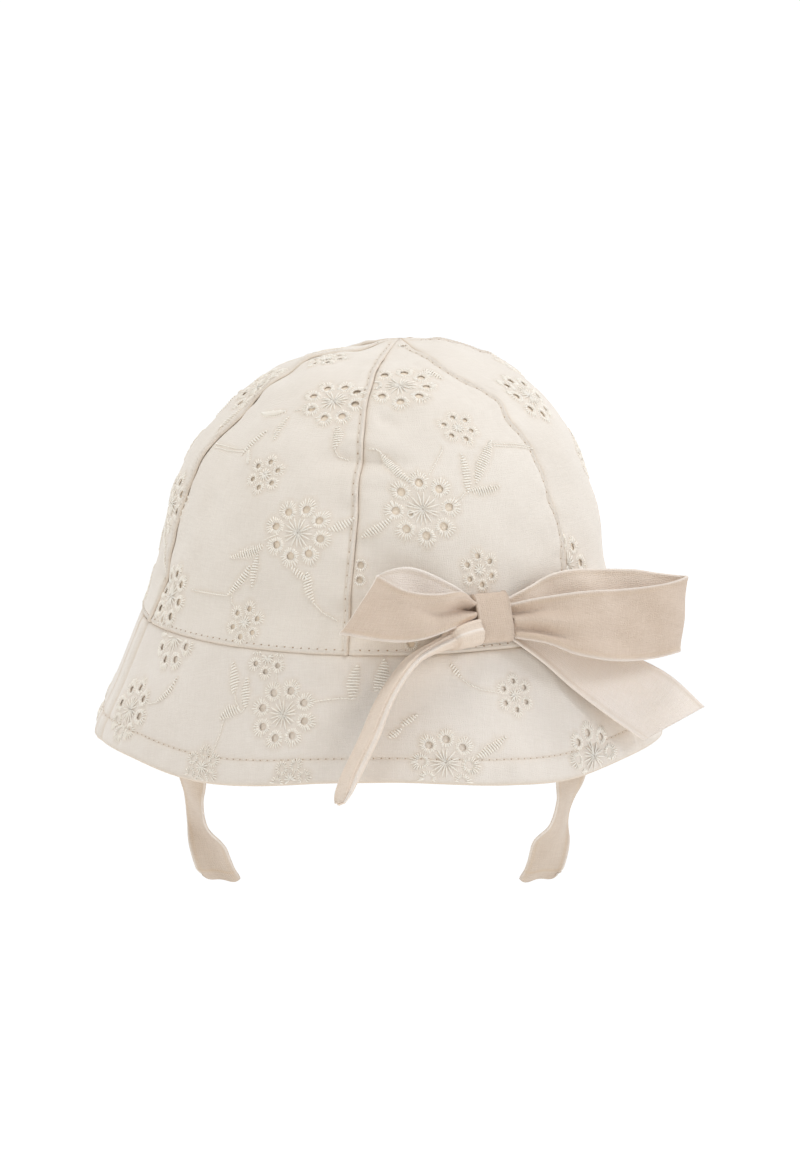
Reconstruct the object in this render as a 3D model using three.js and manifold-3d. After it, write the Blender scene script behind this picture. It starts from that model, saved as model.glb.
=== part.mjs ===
// A baby's cotton sun hat: six pierced crown panels over a lining, a flared two-layer brim,
// a ribbon bow at the front right and two short chin ties.
// Millimetres, +Z up, the front of the hat faces -Y and +X is on the right seen from the front.
// The origin is the centre of the head opening, level with the seam between crown and brim.
import * as THREE from "three";
import { mergeVertices } from "three/addons/utils/BufferGeometryUtils.js";
import Module from "manifold-3d";

// Crown sizes
const HEAD_WIDTH = 148;
const HEAD_LENGTH = 160;
const CROWN_HEIGHT = 83.3;
const CROWN_LEAN_RIGHT = 6.2;
const CROWN_LEAN_BACK = 8.1;
const LEAN_POWER = 2.2;
const PANEL_SWELL = 1.9;
const DENT_DEPTH = 1.6;
const CROWN_TIP = 1.2;

// Brim sizes
const BRIM_WIDTH = 177.4;
const BRIM_LENGTH = 190;
const BRIM_DROP = 37;
const SIDE_SEAM = 80;
const HEM_MARGIN = 3;

// Cloth and gaps
const CROWN_CLOTH = 1;
const LINING_CLOTH = 1;
const BRIM_CLOTH = 1;
const FACING_CLOTH = 1;
const SEAM_GAP = 0.3;
const LAYER_GAP = 0.4;

// Pierced flowers
const LARGE_RING = 7.4;
const LARGE_HOLE = 1.3;
const SMALL_RING = 4.3;
const SMALL_HOLE = 0.85;
const LARGE_PETALS = 8;
const SMALL_PETALS = 6;

// Bow sizes
const BOW_AZIMUTH = 26;
const BOW_RISE = 0.076;
const BOW_CLOTH = 1;
const RIBBON_WIDTH = 24;
const LOOP_BULGE = 10;
const LEFT_LOOP = 42.3;
const RIGHT_LOOP = 67.2;
const LEFT_TAIL_REACH = 50.3;
const LEFT_TAIL_DROP = 49;
const TAIL_FOLD_WIDTH = 5;
const TAIL_FOLD_DEPTH = 9;
const RIGHT_TAIL_REACH = 69.5;
const RIGHT_TAIL_DROP = 40.3;
const KNOT_WIDTH = 11.4;
const KNOT_HEIGHT = 14.4;
const KNOT_DEPTH = 6.4;

// Chin tie sizes
const TIE_AZIMUTH = 70;
const TIE_WIDTH = 12;
const TIE_CLOTH = 1;
const TIE_LENGTH = 80;
const TIE_SWAY = 17;
const TIE_CLEARANCE = 0.8;

// Mesh steps; the lining takes only every second column of the panels
const PANEL_COLUMNS = 8;
const PANEL_ROWS = 11;
const LINING_STRIDE = 2;
const BRIM_ROWS = 2;
const EYELET_SIDES = 6;
const FRONT_STEPS = 20;
const BACK_STEPS = 24;
const LOOP_STEPS = 18;
const TAIL_STEPS = 12;
const TIE_STEPS = 14;
const MERGE = 1e-4;

// Colours of the cloth
const COLOURS = { crown: 0xe2dacd, lining: 0xd8c9b6, brim: 0xe5dccf, facing: 0xe0d4c4, ribbon: 0xdccbb8, tie: 0xdccdbd };

// Profile of a crown seam: reach out from the middle and height, as shares of half width and crown height
const CROWN_PROFILE = [
  { height: 0, reach: 1 },
  { height: 0.08, reach: 0.967 },
  { height: 0.17, reach: 0.935 },
  { height: 0.32, reach: 0.899 },
  { height: 0.47, reach: 0.853 },
  { height: 0.62, reach: 0.784 },
  { height: 0.76, reach: 0.661 },
  { height: 0.87, reach: 0.503 },
  { height: 0.95, reach: 0.304 },
  { height: 1, reach: 0 },
];

// The six seams of the crown: azimuth in degrees at the brim, 0 at the front and positive to the right
const SEAMS = [
  { name: "left", azimuth: -71 },
  { name: "centre", azimuth: -7 },
  { name: "right", azimuth: 51 },
  { name: "right_back", azimuth: 111 },
  { name: "back", azimuth: 171 },
  { name: "left_back", azimuth: 230 },
];

// How far each seam wanders in degrees as it climbs; height is a share of the crown height
const SEAM_DRIFT = [
  { height: 0, left: 0, centre: 0, right: 0, right_back: 0, back: 0, left_back: 0 },
  { height: 0.23, left: -1.5, centre: 0, right: 3.5, right_back: 1, back: 0, left_back: 0 },
  { height: 0.45, left: -1.5, centre: 0, right: 6.5, right_back: 2, back: 0, left_back: 0 },
  { height: 0.62, left: -1, centre: -0.8, right: 2, right_back: 1, back: 0, left_back: 0 },
  { height: 0.75, left: -1, centre: -2, right: -1, right_back: 0, back: 0, left_back: 0 },
  { height: 0.88, left: -2, centre: -4.5, right: -9.5, right_back: -4, back: -1, left_back: 0 },
  { height: 0.94, left: -4, centre: -6, right: -22, right_back: -10, back: -4, left_back: -1 },
  { height: 1, left: -6, centre: -9, right: -30, right_back: -16, back: -8, left_back: -4 },
];

// Panels in the order of their first seam
const PANEL_NAMES = ["front_left", "front_right", "right", "back_right", "back_left", "left"];

// Broad dents of the soft crown: place in degrees and share of the climb, size in the same, depth as a share
const DENTS = [
  { azimuth: -4, rise: 0.455, wide: 13, tall: 0.022, deep: 1 },
  { azimuth: 2, rise: 0.59, wide: 11, tall: 0.03, deep: 0.6 },
  { azimuth: 4, rise: 0.2, wide: 12, tall: 0.07, deep: 0.8 },
  { azimuth: -60, rise: 0.5, wide: 12, tall: 0.1, deep: 0.6 },
  { azimuth: 140, rise: 0.45, wide: 20, tall: 0.09, deep: 0.7 },
];

// Wave of the rim: drop as a share of the brim drop, by azimuth
const RIM = [
  { azimuth: -180, drop: 0.985 },
  { azimuth: -135, drop: 1.03 },
  { azimuth: -90, drop: 1.01 },
  { azimuth: -60, drop: 0.99 },
  { azimuth: -37, drop: 1.045 },
  { azimuth: 0, drop: 0.94 },
  { azimuth: 37, drop: 1.045 },
  { azimuth: 60, drop: 0.99 },
  { azimuth: 90, drop: 1.01 },
  { azimuth: 135, drop: 1.03 },
  { azimuth: 180, drop: 0.985 },
];

// Flowers pierced in the crown: share of the way across the panel, share of the climb, turn in degrees
const CROWN_FLOWERS = [
  { panel: "front_left", across: 0.24, rise: 0.79, size: "small", turn: 10 },
  { panel: "front_left", across: 0.775, rise: 0.632, size: "large", turn: 12 },
  { panel: "front_left", across: 0.54, rise: 0.418, size: "small", turn: 6 },
  { panel: "front_left", across: 0.763, rise: 0.286, size: "large", turn: 12 },
  { panel: "front_left", across: 0.16, rise: 0.085, size: "large", turn: 4 },
  { panel: "front_left", across: 0.594, rise: 0.061, size: "small", turn: 8 },
  { panel: "front_right", across: 0.264, rise: 0.694, size: "large", turn: 0 },
  { panel: "front_right", across: 0.542, rise: 0.548, size: "small", turn: -8 },
  { panel: "front_right", across: 0.278, rise: 0.347, size: "large", turn: -4 },
  { panel: "front_right", across: 0.522, rise: 0.195, size: "small", turn: -4 },
];

// Flowers pierced in the outer brim: azimuth in degrees, share of the way down
const BRIM_FLOWERS = [
  { azimuth: -64, fall: 0.667, size: "large", turn: 6 },
  { azimuth: -20.5, fall: 0.465, size: "large", turn: 10 },
  { azimuth: 13, fall: 0.838, size: "large", turn: 8 },
  { azimuth: 48, fall: 0.889, size: "large", turn: 0 },
  { azimuth: 30.5, fall: 0.343, size: "small", turn: 4 },
  { azimuth: -37.5, fall: 0.88, size: "small", turn: 0 },
];

// Bow loops from the knot out along the front layer, round the fold and back along the rear layer.
// Along is a share of the loop's length, high and low of the ribbon width, out of the loop bulge.
const LEFT_LOOP_ROWS = [
  { highAlong: 0, high: 0.21, lowAlong: 0, low: 0.01, out: 0.5 },
  { highAlong: 0.09, high: 0.325, lowAlong: 0.17, low: -0.09, out: 0.7 },
  { highAlong: 0.33, high: 0.32, lowAlong: 0.5, low: -0.22, out: 0.9 },
  { highAlong: 0.53, high: 0.425, lowAlong: 0.72, low: -0.18, out: 0.62 },
  { highAlong: 0.615, high: 0.62, lowAlong: 0.97, low: -0.02, out: 0.15 },
  { highAlong: 0.6, high: 0.69, lowAlong: 0.96, low: 0, out: -0.16 },
  { highAlong: 0.434, high: 0.74, lowAlong: 0.7, low: -0.1, out: 0.08 },
  { highAlong: 0.245, high: 0.62, lowAlong: 0.45, low: -0.12, out: 0.12 },
  { highAlong: 0.06, high: 0.43, lowAlong: 0.2, low: -0.06, out: 0.18 },
  { highAlong: 0, high: 0.33, lowAlong: 0, low: 0, out: 0.22 },
];
const RIGHT_LOOP_ROWS = [
  { highAlong: 0, high: 0.146, lowAlong: 0, low: -0.288, out: 0.5 },
  { highAlong: 0.122, high: 0.17, lowAlong: 0.119, low: -0.404, out: 0.8 },
  { highAlong: 0.299, high: 0.18, lowAlong: 0.247, low: -0.59, out: 1 },
  { highAlong: 0.552, high: 0.184, lowAlong: 0.44, low: -0.708, out: 0.85 },
  { highAlong: 0.808, high: 0.217, lowAlong: 0.7, low: -0.71, out: 0.4 },
  { highAlong: 0.98, high: 0.313, lowAlong: 0.877, low: -0.64, out: -0.08 },
  { highAlong: 0.985, high: 0.34, lowAlong: 0.88, low: -0.63, out: -0.38 },
  { highAlong: 0.821, high: 0.43, lowAlong: 0.8, low: -0.58, out: -0.4 },
  { highAlong: 0.607, high: 0.5, lowAlong: 0.6, low: -0.5, out: -0.15 },
  { highAlong: 0.396, high: 0.52, lowAlong: 0.4, low: -0.45, out: 0.05 },
  { highAlong: 0.257, high: 0.48, lowAlong: 0.26, low: -0.4, out: 0.15 },
  { highAlong: 0.156, high: 0.375, lowAlong: 0.16, low: -0.3, out: 0.2 },
  { highAlong: 0, high: 0.213, lowAlong: 0, low: -0.2, out: 0.22 },
];

// Right tail, flat: along is a share of its reach, drops of its drop, outs of the loop bulge
const RIGHT_TAIL_ROWS = [
  { lowAlong: 0, lowDrop: 0.15, lowOut: 0.08, highAlong: 0, highDrop: 0.01, highOut: 0.08 },
  { lowAlong: 0.1525, lowDrop: 0.355, lowOut: 0.05, highAlong: 0.23, highDrop: 0.06, highOut: -0.1 },
  { lowAlong: 0.3, lowDrop: 0.583, lowOut: -0.1, highAlong: 0.46, highDrop: 0.186, highOut: -0.5 },
  { lowAlong: 0.453, lowDrop: 0.79, lowOut: -0.25, highAlong: 0.65, highDrop: 0.347, highOut: -0.65 },
  { lowAlong: 0.5625, lowDrop: 0.918, lowOut: -0.4, highAlong: 0.836, highDrop: 0.533, highOut: -0.8 },
  { lowAlong: 0.634, lowDrop: 1, lowOut: -0.5, highAlong: 0.997, highDrop: 0.79, highOut: -0.95 },
];

// Left tail, folded lengthwise: the middle of the fold, and its width as a share
const LEFT_TAIL_ROWS = [
  { along: 0, drop: 0.114, out: 0.42, width: 0.95 },
  { along: 0.085, drop: 0.12, out: 0.4, width: 1 },
  { along: 0.254, drop: 0.151, out: 0.36, width: 0.72 },
  { along: 0.398, drop: 0.196, out: 0.3, width: 0.58 },
  { along: 0.509, drop: 0.292, out: 0.25, width: 0.56 },
  { along: 0.638, drop: 0.439, out: 0.2, width: 0.64 },
  { along: 0.757, drop: 0.639, out: 0.1, width: 0.88 },
  { along: 0.907, drop: 0.855, out: 0.02, width: 0.9 },
  { along: 1, drop: 1, out: 0, width: 0.56 },
];

// Section of the folded tail, open at the back: shares of half its width and half its depth
const TAIL_SECTION = [
  { side: -1, out: -1 },
  { side: -1, out: 0.4 },
  { side: -0.6, out: 1 },
  { side: 0.6, out: 1 },
  { side: 1, out: 0.4 },
  { side: 1, out: -1 },
];

// Knot stations across its width: size as a share of its height and depth
const KNOT_ROWS = [
  { side: -0.5, size: 0.9 },
  { side: -0.42, size: 0.98 },
  { side: 0, size: 0.96 },
  { side: 0.42, size: 1 },
  { side: 0.5, size: 0.93 },
];
const KNOT_SECTION_STEPS = 14;
const KNOT_SQUARENESS = 0.6;

// Chin tie: drop as a share of its length, sway towards the middle, turn of the ribbon in degrees
const TIE_ROWS = [
  { drop: 0, sway: 0, turn: 70 },
  { drop: 0.3, sway: 0.2, turn: 58 },
  { drop: 0.58, sway: 0.45, turn: 42 },
  { drop: 0.67, sway: 0.51, turn: 62 },
  { drop: 0.766, sway: 0.61, turn: 58 },
  { drop: 0.844, sway: 0.76, turn: 18 },
  { drop: 0.916, sway: 0.85, turn: 2 },
  { drop: 1, sway: 1, turn: 0 },
];

const wasm = await Module();
wasm.setup();

// Smooth value of one column of a table at a place in another column
function read(rows, place, column, at) {
  let i = 0;
  while (i < rows.length - 2 && at > rows[i + 1][place]) {
    i += 1;
  }
  const from = rows[i];
  const to = rows[i + 1];
  const before = rows[i - 1] ?? from;
  const after = rows[i + 2] ?? to;
  const span = to[place] - from[place];
  const startSlope = (span * (to[column] - before[column])) / (to[place] - before[place]);
  const endSlope = (span * (after[column] - from[column])) / (after[place] - from[place]);
  const t = THREE.MathUtils.clamp((at - from[place]) / span, 0, 1);
  const rise = t * t * (3 - 2 * t);
  const startPull = t * (1 - t) * (1 - t);
  const endPull = t * t * (t - 1);
  return from[column] * (1 - rise) + to[column] * rise + startSlope * startPull + endSlope * endPull;
}

// Closed body from triangle corners: shared corners are merged and empty triangles dropped
function bodyFrom(corners) {
  const merged = mergeVertices(new THREE.BufferGeometry().setFromPoints(corners), MERGE);
  const index = merged.getIndex().array;
  const kept = [];
  for (let i = 0; i < index.length; i += 3) {
    const [a, b, c] = [index[i], index[i + 1], index[i + 2]];
    if (a !== b && b !== c && c !== a) {
      kept.push(a, b, c);
    }
  }
  merged.setIndex(kept);
  merged.computeVertexNormals();
  return merged;
}

// Cloth between an outer and an inner grid of points. Rows run upwards and columns to the right,
// seen from outside. A ring closes its columns on themselves.
function cloth(outer, inner, ring) {
  const corners = [];
  const rows = outer.length - 1;
  const columns = ring ? outer[0].length : outer[0].length - 1;
  const at = (grid, i, j) => grid[i][j % grid[i].length];
  const wall = (i, j, k, l) => {
    const [a, b] = [at(outer, i, j), at(outer, k, l)];
    const [innerA, innerB] = [at(inner, i, j), at(inner, k, l)];
    corners.push(b, a, innerA, b, innerA, innerB);
  };
  for (let i = 0; i < rows; i += 1) {
    for (let j = 0; j < columns; j += 1) {
      const [a, b] = [at(outer, i, j), at(outer, i, j + 1)];
      const [c, d] = [at(outer, i + 1, j + 1), at(outer, i + 1, j)];
      corners.push(a, b, c, a, c, d);
      const [e, f] = [at(inner, i, j), at(inner, i, j + 1)];
      const [g, h] = [at(inner, i + 1, j + 1), at(inner, i + 1, j)];
      corners.push(e, g, f, e, h, g);
    }
  }
  for (let j = 0; j < columns; j += 1) {
    wall(0, j, 0, j + 1);
    wall(rows, j + 1, rows, j);
  }
  for (let i = 0; i < rows && !ring; i += 1) {
    wall(i, columns, i + 1, columns);
    wall(i + 1, 0, i, 0);
  }
  return bodyFrom(corners);
}

function solidFrom(geometry) {
  return new wasm.Manifold(
    new wasm.Mesh({
      numProp: 3,
      vertProperties: new Float32Array(geometry.getAttribute("position").array),
      triVerts: new Uint32Array(geometry.getIndex().array),
    }),
  );
}

// Geometry with a list of cutting bodies taken out of it
function pierced(geometry, cutters) {
  let solid = solidFrom(geometry);
  for (const cutter of cutters) {
    solid = solid.subtract(solidFrom(cutter));
  }
  const mesh = solid.getMesh();
  const result = new THREE.BufferGeometry();
  result.setAttribute("position", new THREE.BufferAttribute(new Float32Array(mesh.vertProperties), 3));
  result.setIndex(new THREE.BufferAttribute(new Uint32Array(mesh.triVerts), 1));
  result.computeVertexNormals();
  return result;
}

function radians(degrees) {
  return THREE.MathUtils.degToRad(degrees);
}

// Unit vector out of an oval wall at an angle, with a sideways and an upward share
function outwards(angle, sideways, upwards, width, length) {
  const across = Math.sin(angle);
  const forward = (-Math.cos(angle) * width) / length;
  const size = Math.hypot(across, forward);
  return new THREE.Vector3((sideways * across) / size, (sideways * forward) / size, upwards).normalize();
}

const crownProfile = new THREE.SplineCurve(
  CROWN_PROFILE.map((row) => new THREE.Vector2((row.reach * HEAD_WIDTH) / 2, row.height * CROWN_HEIGHT)),
);

// Share of the crown height at a share of the climb along the profile
function heightAt(rise) {
  return crownProfile.getPointAt(rise).y / CROWN_HEIGHT;
}

// Azimuth of a seam in radians at a share of the climb; seams are counted on round the crown
function seamAngle(count, rise) {
  const turns = Math.floor(count / SEAMS.length);
  const seam = SEAMS[count % SEAMS.length];
  const drift = read(SEAM_DRIFT, "height", seam.name, heightAt(rise));
  return radians(seam.azimuth + drift) + turns * 2 * Math.PI;
}

function dentAt(angle, rise) {
  let depth = 0;
  for (const dent of DENTS) {
    const turn = Math.atan2(Math.sin(angle - radians(dent.azimuth)), Math.cos(angle - radians(dent.azimuth)));
    const across = turn / radians(dent.wide);
    const along = (rise - dent.rise) / dent.tall;
    depth += DENT_DEPTH * dent.deep * Math.exp(-across * across - along * along);
  }
  return depth;
}

// Where the seams lie under the panels' swell, as a share of it
const SEAM_SINK = 0.6;
const SWELL_START = 0.15;
const SWELL_END = 0.9;

// Point of the crown. Swell is 0 at a seam and 1 in the middle of a panel; depth goes into the cloth.
function crownPoint(angle, rise, swell, depth) {
  const section = crownProfile.getPointAt(rise);
  const slope = crownProfile.getTangentAt(rise);
  const height = section.y / CROWN_HEIGHT;
  const fade =
    THREE.MathUtils.smoothstep(height, 0, SWELL_START) * (1 - THREE.MathUtils.smoothstep(height, SWELL_END, 1));
  const lean = height ** LEAN_POWER;
  const atPole = section.x < MERGE;
  const reach = atPole ? 0 : section.x + PANEL_SWELL * fade * (swell - SEAM_SINK) - dentAt(angle, rise);
  const point = new THREE.Vector3(
    reach * Math.sin(angle) + CROWN_LEAN_RIGHT * lean,
    (-reach * Math.cos(angle) * HEAD_LENGTH) / HEAD_WIDTH + CROWN_LEAN_BACK * lean,
    section.y,
  );
  const normal = outwards(angle, atPole ? 0 : slope.y, -slope.x, HEAD_WIDTH, HEAD_LENGTH);
  return point.addScaledVector(normal, -depth);
}

// Grid of the crown between two seams, with a small gap kept to each seam line
function crownGrid(panel, rises, columns, stride, gap, swelling, depth) {
  const grid = [];
  for (const rise of rises) {
    const reach = Math.max(crownProfile.getPointAt(rise).x, CROWN_TIP);
    const trim = gap / 2 / reach;
    const from = seamAngle(panel, rise) + trim;
    const to = seamAngle(panel + 1, rise) - trim;
    const row = [];
    for (let j = 0; j <= columns; j += stride) {
      const across = j / columns;
      const angle = THREE.MathUtils.lerp(from, to, across);
      row.push(crownPoint(angle, rise, swelling ? Math.sin(Math.PI * across) : 0, depth));
    }
    grid.push(row);
  }
  return grid;
}

// Shares of the climb at which panels and lining have their rows, up to the panel tips
const panelTop = 1 - CROWN_TIP / crownProfile.getLength();
const panelRises = Array.from({ length: PANEL_ROWS + 1 }, (_, i) => (panelTop * i) / PANEL_ROWS);

const FLOWER_SIZES = {
  large: { petals: LARGE_PETALS, ring: LARGE_RING, hole: LARGE_HOLE },
  small: { petals: SMALL_PETALS, ring: SMALL_RING, hole: SMALL_HOLE },
};

// Round cutter through cloth at a point, along the outward direction there
function eyeletCutter(point, outward, flower, clothDepth) {
  const reach = 2 * (clothDepth + LAYER_GAP) + PANEL_SWELL;
  const cylinder = new THREE.CylinderGeometry(flower.hole, flower.hole, reach, EYELET_SIDES);
  const turn = new THREE.Quaternion().setFromUnitVectors(new THREE.Vector3(0, 1, 0), outward);
  cylinder.applyQuaternion(turn);
  cylinder.translate(point.x, point.y, point.z);
  cylinder.deleteAttribute("normal");
  cylinder.deleteAttribute("uv");
  return mergeVertices(cylinder, MERGE);
}

// Cutters of one flower on a surface given as a function of two shares. The petals stand on a ring
// in millimetres, so the shares' own lengths are measured at the flower's middle.
function flowerCutters(surface, across, up, row, clothDepth, keep) {
  const flower = FLOWER_SIZES[row.size];
  const step = 1e-3;
  const middle = surface(across, up);
  const acrossRun = surface(across + step, up).sub(middle);
  const upRun = surface(across, up + step).sub(middle);
  const outward = new THREE.Vector3().crossVectors(acrossRun, upRun).normalize();
  if (upRun.z < 0) {
    outward.negate();
  }
  const cutters = [];
  for (let petal = 0; petal < flower.petals; petal += 1) {
    const angle = radians(row.turn) + (2 * Math.PI * petal) / flower.petals;
    const a = across + (flower.ring * Math.sin(angle) * step) / acrossRun.length();
    const b = up + (flower.ring * Math.cos(angle) * step) / upRun.length();
    if (keep(b)) {
      cutters.push(eyeletCutter(surface(a, b), outward, flower, clothDepth));
    }
  }
  return cutters;
}

function crownPanel(index) {
  const outer = crownGrid(index, panelRises, PANEL_COLUMNS, 1, SEAM_GAP, true, 0);
  const inner = crownGrid(index, panelRises, PANEL_COLUMNS, 1, SEAM_GAP, true, CROWN_CLOTH);
  const surface = (across, rise) => {
    const angle = THREE.MathUtils.lerp(seamAngle(index, rise), seamAngle(index + 1, rise), across);
    return crownPoint(angle, rise, Math.sin(Math.PI * across), CROWN_CLOTH / 2);
  };
  const cutters = [];
  for (const row of CROWN_FLOWERS) {
    if (row.panel === PANEL_NAMES[index]) {
      cutters.push(...flowerCutters(surface, row.across, row.rise, row, CROWN_CLOTH, (rise) => rise > 0));
    }
  }
  return pierced(cloth(outer, inner, false), cutters);
}

function crownLining() {
  const depth = CROWN_CLOTH + LAYER_GAP;
  const rises = [...panelRises, 1];
  const layers = [depth, depth + LINING_CLOTH].map((level) => {
    const grid = rises.map(() => []);
    for (let panel = 0; panel < SEAMS.length; panel += 1) {
      const part = crownGrid(panel, rises, PANEL_COLUMNS, LINING_STRIDE, 0, false, level);
      part.forEach((row, i) => grid[i].push(...row.slice(0, -1)));
    }
    return grid;
  });
  return cloth(layers[0], layers[1], true);
}

// Point of the brim, from the seam at the head down to the rim
function brimPoint(angle, fall, depth) {
  const degrees = THREE.MathUtils.euclideanModulo(THREE.MathUtils.radToDeg(angle) + 180, 360) - 180;
  const drop = BRIM_DROP * read(RIM, "azimuth", "drop", degrees);
  const halfWidth = THREE.MathUtils.lerp(HEAD_WIDTH / 2, BRIM_WIDTH / 2, fall);
  const halfLength = THREE.MathUtils.lerp(HEAD_LENGTH / 2, BRIM_LENGTH / 2, fall);
  const flare = (BRIM_WIDTH - HEAD_WIDTH) / 2;
  const point = new THREE.Vector3(
    halfWidth * Math.sin(angle),
    -halfLength * Math.cos(angle),
    -SEAM_GAP - drop * fall,
  );
  const normal = outwards(angle, drop, flare, HEAD_WIDTH, HEAD_LENGTH);
  return point.addScaledVector(normal, -depth);
}

// Rim at the bottom row and head seam at the top row, so that rows run upwards
function brimGrid(angles, depth) {
  const grid = [];
  for (let i = 0; i <= BRIM_ROWS; i += 1) {
    grid.push(angles.map((angle) => brimPoint(angle, 1 - i / BRIM_ROWS, depth)));
  }
  return grid;
}

function anglesBetween(from, to, steps) {
  const trim = SEAM_GAP / BRIM_WIDTH;
  const start = radians(from) + trim;
  const end = radians(to) - trim;
  return Array.from({ length: steps + 1 }, (_, i) => THREE.MathUtils.lerp(start, end, i / steps));
}

const frontAngles = anglesBetween(-SIDE_SEAM, SIDE_SEAM, FRONT_STEPS);
const backAngles = anglesBetween(SIDE_SEAM, 360 - SIDE_SEAM, BACK_STEPS);

function brimHalf(angles, rows) {
  const plain = cloth(brimGrid(angles, 0), brimGrid(angles, BRIM_CLOTH), false);
  const surface = (angle, up) => brimPoint(angle, 1 - up, BRIM_CLOTH / 2);
  const margin = HEM_MARGIN / BRIM_DROP;
  const inside = (up) => up > margin && up < 1 - margin;
  const cutters = [];
  for (const row of rows) {
    cutters.push(...flowerCutters(surface, radians(row.azimuth), 1 - row.fall, row, BRIM_CLOTH, inside));
  }
  return cutters.length > 0 ? pierced(plain, cutters) : plain;
}

function brimFacing() {
  const angles = [...frontAngles, ...backAngles];
  const depth = BRIM_CLOTH + LAYER_GAP;
  return cloth(brimGrid(angles, depth), brimGrid(angles, depth + FACING_CLOTH), true);
}

// The bow's own directions: along to the right, out from the crown and up the crown's slope
function bowFrame() {
  const angle = radians(BOW_AZIMUTH);
  const slope = crownProfile.getTangentAt(BOW_RISE);
  const out = outwards(angle, slope.y, -slope.x, HEAD_WIDTH, HEAD_LENGTH);
  const along = new THREE.Vector3(0, 0, 1).cross(out).normalize();
  const up = new THREE.Vector3().crossVectors(out, along);
  const swell = (angle - seamAngle(1, BOW_RISE)) / (seamAngle(2, BOW_RISE) - seamAngle(1, BOW_RISE));
  const seat = crownPoint(angle, BOW_RISE, Math.sin(Math.PI * swell), 0);
  return { seat, along, up, out };
}

const bow = bowFrame();

function bowPoint(along, up, out) {
  return bow.seat
    .clone()
    .addScaledVector(bow.along, along)
    .addScaledVector(bow.up, up)
    .addScaledVector(bow.out, out);
}

// Place beside the knot where a loop or tail comes out of it
const knotSide = KNOT_WIDTH / 2 + SEAM_GAP;

// Points spread evenly along a smooth curve through hand-picked ones
function curvePoints(points, steps) {
  const curve = new THREE.CatmullRomCurve3(points, false, "centripetal");
  return Array.from({ length: steps + 1 }, (_, i) => curve.getPoint(i / steps));
}

// Cloth strip from its middle surface, given as rows of points, each row across the strip
function strip(grid, thickness) {
  const last = grid.length - 1;
  const end = grid[0].length - 1;
  const layer = (offset) =>
    grid.map((row, i) =>
      row.map((point, j) => {
        const forward = grid[Math.min(i + 1, last)][j].clone().sub(grid[Math.max(i - 1, 0)][j]);
        const across = row[Math.min(j + 1, end)].clone().sub(row[Math.max(j - 1, 0)]);
        const normal = across.cross(forward).normalize();
        return point.clone().addScaledVector(normal, offset);
      }),
    );
  return cloth(layer(thickness / 2), layer(-thickness / 2), false);
}

function stripBetween(firstEdge, secondEdge, columns, thickness) {
  const grid = firstEdge.map((point, i) =>
    Array.from({ length: columns + 1 }, (_, j) => point.clone().lerp(secondEdge[i], j / columns)),
  );
  return strip(grid, thickness);
}

function bowLoop(rows, length, side) {
  const edge = (alongColumn, upColumn) =>
    curvePoints(
      rows.map((row) =>
        bowPoint(side * (knotSide + row[alongColumn] * length), row[upColumn] * RIBBON_WIDTH, row.out * LOOP_BULGE),
      ),
      LOOP_STEPS,
    );
  return stripBetween(edge("lowAlong", "low"), edge("highAlong", "high"), 2, BOW_CLOTH);
}

function bowTailRight() {
  const edge = (along, drop, out) =>
    curvePoints(
      RIGHT_TAIL_ROWS.map((row) =>
        bowPoint(knotSide + row[along] * RIGHT_TAIL_REACH, -row[drop] * RIGHT_TAIL_DROP, row[out] * LOOP_BULGE),
      ),
      TAIL_STEPS,
    );
  return stripBetween(edge("lowAlong", "lowDrop", "lowOut"), edge("highAlong", "highDrop", "highOut"), 3, BOW_CLOTH);
}

function bowTailLeft() {
  const middle = curvePoints(
    LEFT_TAIL_ROWS.map((row) =>
      bowPoint(-knotSide - row.along * LEFT_TAIL_REACH, -row.drop * LEFT_TAIL_DROP, row.out * LOOP_BULGE),
    ),
    TAIL_STEPS,
  );
  const grid = middle.map((point, i) => {
    const forward = middle[Math.min(i + 1, TAIL_STEPS)].clone().sub(middle[Math.max(i - 1, 0)]);
    const sideways = forward.cross(bow.out).normalize();
    const place = (i / TAIL_STEPS) * (LEFT_TAIL_ROWS.length - 1);
    const row = Math.min(Math.floor(place), LEFT_TAIL_ROWS.length - 2);
    const share = THREE.MathUtils.lerp(LEFT_TAIL_ROWS[row].width, LEFT_TAIL_ROWS[row + 1].width, place - row);
    const halfWidth = (share * TAIL_FOLD_WIDTH - BOW_CLOTH) / 2;
    return TAIL_SECTION.map((corner) =>
      point
        .clone()
        .addScaledVector(sideways, corner.side * halfWidth)
        .addScaledVector(bow.out, (corner.out * TAIL_FOLD_DEPTH) / 2),
    );
  });
  return strip(grid, BOW_CLOTH);
}

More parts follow.
